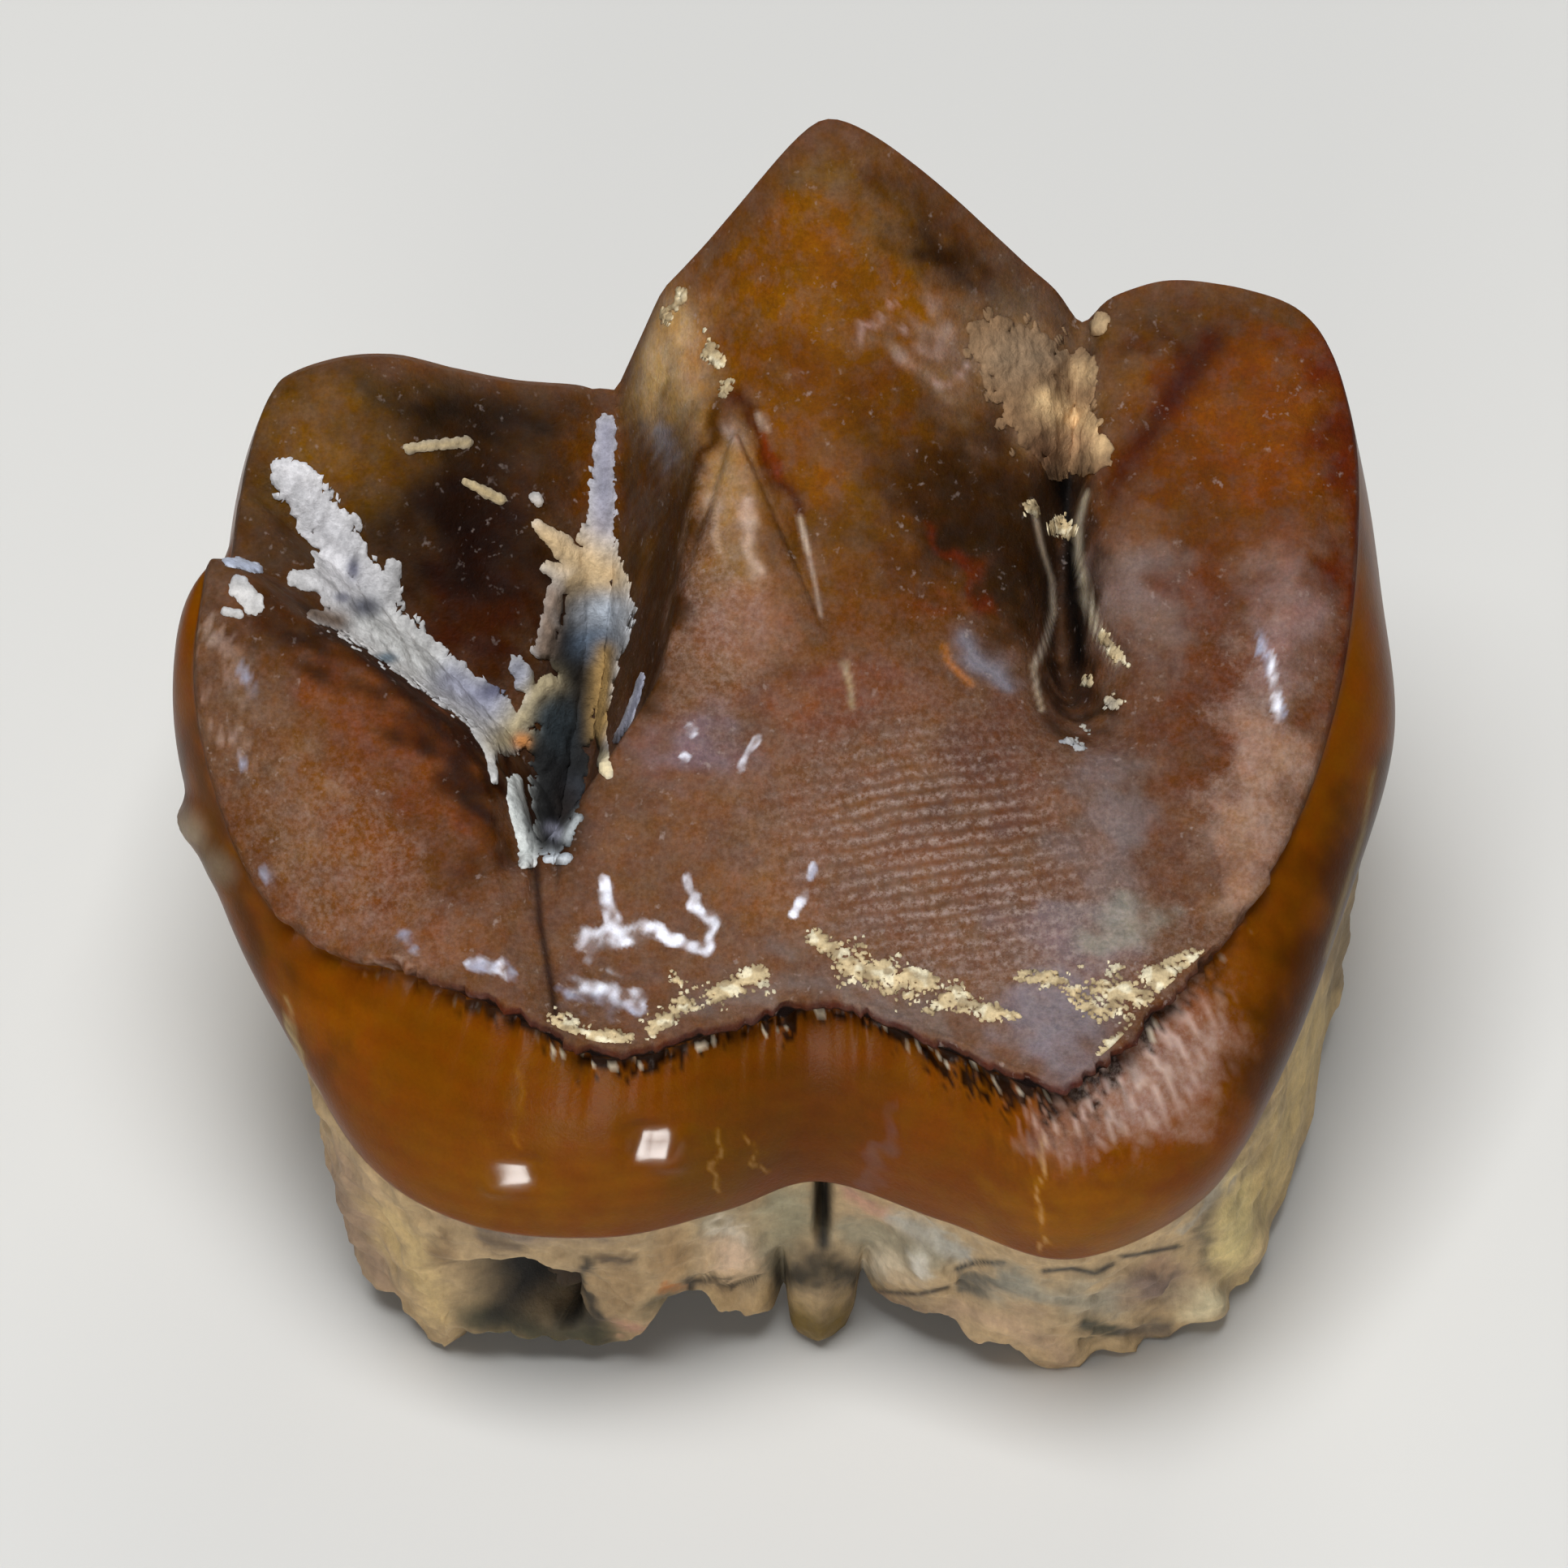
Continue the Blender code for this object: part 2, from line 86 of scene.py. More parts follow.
# Stations run anticlockwise from the notch in the near side; each is X, Y and, lower down, height
RIM_OUTLINE = [
    (.7, -5.60), (2.6, -6.28), (4.5, -7), (6.1, -5.55), (7.5, -4), (8.4, -2.3), (9, -.3), (9.3, 1.8),
    (9.2, 3.6), (8.45, 4.95), (6.4, 5.4), (4.8, 5.3), (2.9, 5.4), (.8, 5.45), (-1.6, 5.25), (-3.4, 5.4),
    (-6, 5.5), (-8, 5.2), (-8.75, 3.8), (-9, 2.2), (-9.35, .7), (-9.45, -1.1), (-8.5, -3.15),
    (-6.6, -4.7), (-4.7, -5.65), (-2.8, -6.45), (-.9, -5.95)]
SIDE_BULGE = [
    (.65, -6.25, 7.3), (2.65, -7, 7.2), (4.7, -7.8, 7.1), (6.8, -6.8, 7.3), (8.2, -4.95, 7.9),
    (9.3, -2.5, 8.8), (10, -.1, 9.5), (9.9, 2.3, 9.8), (9.6, 4.6, 9.6), (8.6, 6.3, 9.5), (6.5, 6.9, 9.5),
    (4.7, 6.6, 9.5), (2.8, 7, 9.6), (.7, 7.2, 10), (-1.6, 6.8, 9.6), (-3.6, 6.8, 9.4), (-6.2, 7.1, 9.4),
    (-8.4, 6.3, 9.4), (-9.3, 4.5, 9.6), (-9.6, 2.6, 9.9), (-9.97, .4, 10.8), (-9.85, -1, 9.4),
    (-8.8, -3.3, 7.6), (-7.1, -5.5, 7.2), (-5.2, -6.7, 7.1), (-2.9, -7.2, 7), (-.9, -6.75, 7.1)]
ENAMEL_EDGE = [
    (.59, -6.3, 5.45), (2.6, -7, 5.3), (4.7, -7.75, 5.25), (6.9, -6.65, 5.5), (8.15, -4.6, 6.3),
    (9, -1.9, 7.25), (9.65, .6, 7.5), (9.8, 2.8, 7.2), (9.5, 5, 6.6), (8.5, 6.8, 6.1), (6.5, 7.5, 5.7),
    (4.6, 7.1, 5.9), (2.7, 7.5, 5.7), (.6, 7.7, 5.6), (-1.6, 7.3, 5.8), (-3.7, 7.3, 5.8),
    (-6.2, 7.6, 5.7), (-8.4, 6.8, 6.1), (-9.4, 4.9, 6.7), (-9.6, 2.8, 7.3), (-9.65, 1, 7.7),
    (-9.45, -.6, 7.5), (-8.4, -3.2, 6.5), (-7, -5.8, 5.6), (-5.2, -7.05, 5.3), (-2.9, -7.3, 5.25),
    (-1, -6.8, 5.3)]
STATIONS = len(ENAMEL_EDGE)


def closed_curve(stations, s):
    """Points of the closed smooth curve through the stations (Catmull-Rom), at station numbers s."""
    p = np.asarray(stations, float)
    n = len(p)
    i = np.floor(s).astype(int) % n
    f = (s - np.floor(s))[:, None]
    a, b, c, d = p[i - 1], p[i], p[(i + 1) % n], p[(i + 2) % n]
    return b + .5 * f * (c - a + f * (2 * a - 5 * b + 4 * c - d + f * (3 * (b - c) + d - a)))


def curve(v, pairs):
    """Height of the smooth curve through the pairs (cubic with mean slopes), flat past its ends."""
    x, y = np.asarray(pairs, float).T
    m = np.gradient(y, x)
    v = np.clip(v, x[0], x[-1])
    i = np.clip(np.searchsorted(x, v) - 1, 0, len(x) - 2)
    h = x[i + 1] - x[i]
    f = (v - x[i]) / h
    rise = f * f * (3 - 2 * f)
    return (y[i] + (y[i + 1] - y[i]) * rise + h * m[i] * f * (1 - f) ** 2
            - h * m[i + 1] * f * f * (1 - f))


def straight(v, pairs):
    """Height of the straight-sided line through the pairs."""
    x, y = np.asarray(pairs, float).T
    return np.interp(v, x, y)


def step(v, low, high):
    """0 below low, 1 above high, with a smooth rise between them."""
    f = np.clip((v - low) / (high - low), 0, 1)
    return f * f * (3 - 2 * f)


def past(v):
    """v where it is above 0, else 0."""
    return np.clip(v, 0, None)


def soft_past(v, size):
    """v where it is well above 0, 0 where it is well below, with a round bend of this size."""
    return .5 * (v + np.sqrt(v * v + size * size))


def higher(a, b, size):
    """The higher of two surfaces, with the crease between them filled over this size."""
    h = past(size - np.abs(a - b)) / size
    return np.maximum(a, b) + h * h * size / 4


def lower(a, b, size):
    """The lower of two surfaces, with the edge between them rounded over this size."""
    return -higher(-a, -b, size)


def bell(v, width):
    """1 at v = 0, falling off on both sides."""
    return np.exp(-(v / width) ** 2)


def waves(points, size, seed, count=14):
    """A smooth random height of about 1: the mean of plane waves in seeded directions, this long in mm."""
    random = np.random.default_rng(seed)
    arrows = random.normal(size=(count, points.shape[-1]))
    per_mm = (2 * np.pi / size) * random.uniform(.6, 1.5, (count, 1))
    arrows *= per_mm / np.linalg.norm(arrows, axis=1)[:, None]
    phases = random.uniform(0, 2 * np.pi, count)
    return np.sin(points @ arrows.T + phases).sum(axis=-1) / np.sqrt(count / 2)


def wander(points, *pairs):
    """Smooth random moves side by side, one column for each pair of a size and a seed."""
    return np.column_stack([waves(points, size, seed) for size, seed in pairs])


def cusp_tongue(x, y):
    """Low tongue on the middle cusp, pointed at its far end, with a fine groove along each side."""
    tip_x, tip_y = -.82, 2.65
    run = tip_y - y
    left = tip_x - .44 * run
    right = tip_x + .52 * run
    across = (x - left) / np.maximum(right - left, .05)
    fade = step(y, -1.2, .6) * (1 - step(y, 2.2, tip_y))
    inside = past(1 - (2 * across - 1) ** 2)
    return fade * (.28 * inside - .14 * (bell(x - left, .12) + bell(x - right, .12)))


def ramp_and_cusps(x, y):
    """The worn ramp that rises from the near rim, its middle cusp, and the right lobe beyond the slit."""
    slope = curve(x, [(-9, .62), (-4, .57), (2, .55), (5, .50), (9.6, .47)])
    sag = .009 * x * x * straight(y, [(-6, .2), (0, .8), (5, .1)])
    ramp = higher(RIM_HEIGHT + slope * (y + 5.75) - sag, RAMP_FLOOR, .9)
    ramp = ramp - curve(y, [(-4, 0), (0, .08), (5.5, .45)]) * soft_past(.2 - x, .6)
    half_width = 3.3 + .6 * np.tanh((x - CUSP_X) / .8)
    peak = 1 - np.sqrt(((x - CUSP_X) / half_width) ** 2 + .012)
    top = ramp + CUSP_GROWTH * past(y + 2.2) ** 2 * soft_past(peak, .1)
    # the middle valley with the narrow slit along its floor
    slit_x = curve(y, [(-4, 5.1), (-1, 4.85), (.4, 4.62), (2, 4.55), (3.5, 4.7), (5.5, 4.9)])
    valley = curve(y, [(-4.5, 0), (-2.2, .1), (.2, .55), (2.5, .75), (5, .6)])
    top = top - valley * bell(x - slit_x, np.where(x < slit_x, 2.0, 1.1))
    slit = curve(y, [(-3, 0), (-1.8, 0), (-.9, .5), (.3, 1.4), (2.5, 1.8), (3.6, 1.2), (4.6, .7), (6, .55)])
    slit_width = curve(y, [(-3, .8), (-.9, .7), (.2, .5), (1.5, .36), (3.5, .30), (6, .30)])
    top = top - slit * bell(x - slit_x, slit_width)
    # the rounded ridge down the right lobe
    ridge_x = curve(y, [(-5, 7.3), (-2.6, 7.95), (-.4, 8.15), (1.9, 8.4), (5.5, 8.35)])
    ridge = curve(y, [(-5, 0), (-3, .2), (-.4, .4), (1.9, .4), (4.5, .1), (6, 0)])
    top = top + ridge * bell(x - ridge_x, .7) + cusp_tongue(x, y)
    # the middle cusp falls off steeply into the left valley
    edge_x = curve(y, [(-8, -7.5), (-5, -6.4), (-4.1, -5.2), (-3.3, -4), (-2.2, -3.2), (-1, -2.8),
                       (1, -2.4), (3, -2.05), (4.5, -2.3), (6, -2.5)])
    fall = curve(y, [(-6, .5), (-4, 1), (-3, 2.3), (-2, 3.2), (6, 3.2)])
    return top - fall * soft_past(edge_x - x, .25)


def left_lobes(x, y):
    """The left lobe, the block behind it, and the crease between them.

    u and w are X and Y turned by 30 degrees, so that the lobe's crest and the crease run along u.
    """
    u = .866 * x - .5 * y
    w = .5 * x + .866 * y
    crest_w = curve(u, [(-11, -3.9), (-5, -3.9), (-3.9, -4.05), (-2.8, -4.7), (-1.9, -6), (0, -8.5)])
    crest = curve(u, [(-10.5, 11.7), (-9.2, 12.45), (-8.2, 12.6), (-6.5, 12.15), (-5.1, 11.7),
                      (-3.9, 11.2), (-2.8, 10.7), (-1.9, 10), (0, 9)])
    rounding = curve(u, [(-8, .15), (-5.8, .15), (-4.2, .09), (-2.9, .04)])
    back_fall = curve(u, [(-11, 1), (-4, 1), (-2.8, .6), (-1.9, .1), (0, 0)])
    near = past(crest_w - w)
    lobe = crest - .38 * near - rounding * near ** 2 - back_fall * past(w - crest_w)
    block_y = curve(x, [(-10, 4.4), (-8.5, 4.9), (-6.5, 5.2), (-2, 5.1)])
    block_top = curve(x, [(-10, 11.4), (-9.2, 12), (-8.4, 12.4), (-6.6, 12.75), (-5.4, 12.35),
                          (-4.4, 12.1), (-2, 12.1)])
    front = past(block_y - y)
    bend = curve(x, [(-10, .10), (-6.8, .05), (-5, .30), (-3.5, .34), (-2, .25)])
    block = block_top - bend * front - .10 * front ** 2 - .8 * past(y - block_y)
    block = block - .6 * bell(np.hypot((x + 4.9) / 1.1, (y - 3.0) / 1.2), 1)
    block = block + .25 * bell(np.hypot((x + 7.3) / 1.1, y - 3.8), 1)
    floor_w = curve(u, [(-11, -1.5), (-5.4, -1.45), (-4.2, -1.4), (-3.35, -1.7), (-2.7, -2.6), (-2, -3.4)])
    floor = curve(u, [(-10.4, 12.2), (-8.8, 11.4), (-7.2, 10.3), (-5.4, 9), (-4.2, 7.8), (-3.35, 7),
                      (-2.7, 6.9), (-2, 7.2)])
    bank = curve(u, [(-11, .9), (-6, 1.1), (-4.2, 1.6), (-3, 2.3), (-2, 2.8)])
    beyond = past(w - floor_w)
    crease = floor + bank * past(floor_w - w - .1) + .9 * beyond - .02 * beyond ** 2
    return lower(higher(lobe, block, .4), crease, .5)


def chewing_surface(x, y):
    """Height of the chewing side: ramp, lobes and block, the pit and its arm, and the wear's unevenness."""
    surface = higher(ramp_and_cusps(x, y), left_lobes(x, y), .5)
    arm_x = curve(y, [(-3, -3.9), (-.9, -3.7), (1.2, -3.4), (2.3, -3.15), (3.6, -3), (6, -2.95)])
    arm_floor = curve(y, [(-2.6, 10), (-1.6, 8), (-.9, 6.9), (.2, 6.8), (1.2, 7.2), (2.3, 8.3),
                          (3.6, 10.1), (4.8, 11.5), (6.2, 12)])
    bank = curve(y, [(-3, 5), (-.9, 3.4), (.5, 2.4), (2, 1.6), (4, 1), (6, .8)])
    arm = arm_floor + bank * past(arm_x - x - .2) + 3.4 * past(x - arm_x - .2)
    plan = np.stack([x, y], axis=-1)
    uneven = .018 * waves(plan, 2.6, 1) + .0025 * waves(plan, .7, 2)
    return lower(surface, arm, .3) + uneven


def outward_of(edge):
    """Level unit arrows from the middle of the tooth through each point of the enamel edge."""
    arrows = edge * [1, 1, 0] - [*CENTRE, 0]
    return arrows / np.linalg.norm(arrows, axis=1)[:, None]


def crown_rings(s):
    """Rings from the middle of the chewing side to its rim, over the lip, down the side and under it."""
    rim = closed_curve(RIM_OUTLINE, s)
    bulge = closed_curve(SIDE_BULGE, s)
    edge = closed_curve(ENAMEL_EDGE, s)
    outward = outward_of(edge)
    rings = []
    for f in np.linspace(.012, 1, TOP_ROWS) ** .9:
        plan = CENTRE + f * (rim - CENTRE)
        rings.append(np.column_stack([plan, chewing_surface(plan[:, 0], plan[:, 1])]))
    # the lip overhangs only along the near side, and fades out round both ends of it
    turn = (s / STATIONS + .5) % 1
    lip = (step(turn, .28, .36) * (1 - step(turn, .62, .70)))[:, None]
    chipped = (.05 * waves(rim, .7, 3) + .03 * waves(rim, .25, 4))[:, None]
    brink = rings[-1]
    plain_drop = .5 * LIP_DROP
    for out, drop in ((.05, .03), (.09, .09), (.10, .16), (.07, .24), (.0, .31), (-.08, .38),
                      (-.13, .45), (-.14, LIP_DROP)):
        plain = brink + outward * .12 * np.sqrt(drop / LIP_DROP) - [0, 0, plain_drop * drop / LIP_DROP]
        over = brink + outward * (out + chipped * out / .1) - [0, 0, 1] * (drop * (1 + chipped))
        rings.append(plain + lip * (over - plain))
    chips = lip * outward * (chipped * out / .1)
    top = rings[-1] - chips
    control = 2 * bulge - .5 * (top + edge)
    for f in np.linspace(0, 1, SIDE_ROWS + 1)[1:]:
        ring = (1 - f) ** 2 * top + 2 * f * (1 - f) * control + f * f * edge
        place = seen(ring)
        for across, up, wide, high, slant, lean in FLAT_SPOTS:
            along = (place[:, 0] - across) / wide
            rise = (place[:, 1] - up) / high
            tilt = (lean * high * rise + slant * wide * along) * np.exp(-rise ** 4 - along ** 4)
            ring = ring - outward * (tilt * (ring[:, 1] < 0))[:, None]
        lump = swelling(place, SIDE_LUMPS) * bell(ring[:, 2] - LUMP_HEIGHT, .7)
        folds = sum(depth * bell(s - station, width) for station, width, depth in FAR_FOLDS)
        ring = ring + outward * (lump - 4 * f * (1 - f) * folds)[:, None]
        rings.append(ring + chips * max(0, 1 - f / .12) ** 2)
    # the round thin margin of the enamel, turned in under the crown where the root starts
    for inward, drop in ((.02, .07), (.08, .12), (.16, .13), (.4, .05)):
        rings.append(edge - outward * inward - [0, 0, drop])
    for inward, share in ((1.4, .6), (4, 0)):
        hidden = edge - outward * inward
        hidden[:, 2] = CAP_FLOOR + share * (hidden[:, 2] - CAP_FLOOR)
        rings.append(hidden)
    return rings


def closed_surface(name, rings):
    """A closed mesh from rings of equal length, with a pole in the middle of the first and last ring."""
    count = len(rings[0])
    points = np.vstack(rings + [rings[0].mean(axis=0)[None], rings[-1].mean(axis=0)[None]])
    here = np.arange(count)
    onward = (here + 1) % count
    low = np.arange(len(rings) - 1)[:, None] * count
    quads = np.stack([low + here, low + count + here, low + count + onward, low + onward], axis=-1)
    first, last = len(points) - 2, len(points) - 1
    end = (len(rings) - 1) * count
    fans = np.vstack([np.column_stack([np.full(count, first), here, onward]),
                      np.column_stack([np.full(count, last), end + onward, end + here])])
    return mesh_from(name, points, quads.reshape(-1, 4), fans)


def mesh_from(name, points, quads, triangles=np.zeros((0, 3), int)):
    """A smooth mesh from points in millimetres, with its four-sided and three-sided faces as arrays."""
    mesh = bpy.data.meshes.new(name)
    mesh.from_pydata((points * MM).tolist(), [], quads.tolist() + triangles.tolist())
    mesh.shade_smooth()
    return mesh


def give(mesh, name, values):
    """Stores one number or one colour at each vertex, for the material to read."""
    kind = "FLOAT" if values.ndim == 1 else "FLOAT_COLOR"
    if values.ndim == 2:
        values = np.column_stack([values, np.ones(len(values))])
    key = "value" if kind == "FLOAT" else "color"
    mesh.attributes.new(name, kind, "POINT").data.foreach_set(key, values.astype(np.float32).ravel())


def linear(code):
    """An sRGB hex colour as linear red, green and blue."""
    v = np.array([int(code[i:i + 2], 16) for i in (1, 3, 5)]) / 255
    return np.where(v <= .04045, v / 12.92, ((v + .055) / 1.055) ** 2.4)


def seen(points):
    """Across and up in mm on the slanted plane that faces the viewer, from the picture's middle."""
    return np.column_stack([points[:, 0], points @ VIEW_UP - VIEW_MIDDLE])


def spot(where, across, up, wide, high, turn=0):
    """1 in the middle of an ellipse on the slanted plane, fading evenly to 0 at about its edge."""
    angle = np.radians(turn)
    dx, dy = where[:, 0] - across, where[:, 1] - up
    u = (dx * np.cos(angle) + dy * np.sin(angle)) / wide
    v = (dy * np.cos(angle) - dx * np.sin(angle)) / high
    return np.exp(-(u * u + v * v) ** 1.5)


def swelling(where, lumps):
    """How far lumps stand out: the sum of their spots, each times the last number of its row."""
    return sum(out * spot(where, *place) for *place, out in lumps)


def beside(where, line):
    """For each straight part of a line: its ends, how far along it each place is, and how far off."""
    for a, b in zip(np.array(line[:-1], float), np.array(line[1:], float)):
        run = (b - a)[:2]
        along = np.clip((where - a[:2]) @ run / (run @ run), 0, 1)
        yield a, b, along, np.linalg.norm(where - a[:2] - along[:, None] * run, axis=1)


def trail(where, line, width):
    """1 along a line of points on the slanted plane, fading to 0 at about this half width."""
    return np.exp(-(np.min([gap for *_, gap in beside(where, line)], axis=0) / width) ** 2)


def within(where, bands):
    """How far inside the nearest band each place is: 1 on its middle line, 0 at its edge, then below."""
    return np.max([1 - gap / (a[2] + along * (b[2] - a[2]))
                   for band in bands for a, b, along, gap in beside(where, band)], axis=0)


def painted(colour, rows, field=None, strength=1):
    """Colours with rows laid over them in turn: a hex colour, its share, and where it lies.

    A row ends with a mask, or else with the numbers of a spot or a trail in this field of places.
    """
    if isinstance(colour, str):
        colour = linear(colour)
    for code, share, *place in rows:
        if isinstance(place[0], np.ndarray):
            cover = place[0]
        elif isinstance(place[0], list):
            cover = trail(field, *place)
        else:
            cover = spot(field, *place)
        cover = (share * cover * strength)[:, None]
        colour = colour * (1 - cover) + linear(code) * cover
    return colour


def with_poles(values):
    """Adds the first and last values again, for the poles of a closed surface."""
    return np.concatenate([values, values[[0, -1]]])


def node(tree, kind, inputs=(), out=0, **settings):
    """Adds one node with its settings; its inputs, by name or in order, are values or other outputs."""
    made = tree.nodes.new("ShaderNode" + kind)
    for key, value in settings.items():
        setattr(made, key, value)
    for key, value in inputs.items() if isinstance(inputs, dict) else enumerate(inputs):
        if isinstance(value, bpy.types.NodeSocket):
            tree.links.new(value, made.inputs[key])
        else:
            made.inputs[key].default_value = value
    return made.outputs[out] if made.outputs else made


def unevenness(tree, *greys):
    """The product of several greys, each brought from its first two numbers to its last two."""
    total = None
    for grey in greys:
        part = node(tree, "MapRange", grey)
        total = part if total is None else node(tree, "Math", [total, part], operation="MULTIPLY")
    return total


def new_material(name):
    """A material and its empty node tree."""
    material = bpy.data.materials.new(name)
    material.use_nodes = True
    material.node_tree.nodes.clear()
    return material, material.node_tree


def as_piece(mesh, stain, material):
    """One object at the origin with its stain and material, riding with the tooth."""
    give(mesh, "stain", stain)
    mesh.materials.append(material)
    piece = bpy.data.objects.new(mesh.name, settle(mesh))
    bpy.context.scene.collection.objects.link(piece)
    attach(piece, "root")
    return piece


columns = np.arange(COLUMNS) / COLUMNS
stations = STATIONS * (columns - NEAR_CROWDING * np.sin(2 * np.pi * columns) / (2 * np.pi))
crown = crown_rings(stations)
crown_points = np.vstack(crown)
crown_row = np.repeat(np.arange(len(crown)), COLUMNS)
where = seen(crown_points)
on_top = 1.0 * (crown_row < TOP_ROWS + LIP_TOP_ROWS)
side = 1.0 * (crown_row >= TOP_ROWS + LIP_ROWS - LIP_SIDE_ROWS)
under_lip = 1 - on_top - side
front = step(-crown_points[:, 1], -5.5, -4.5)

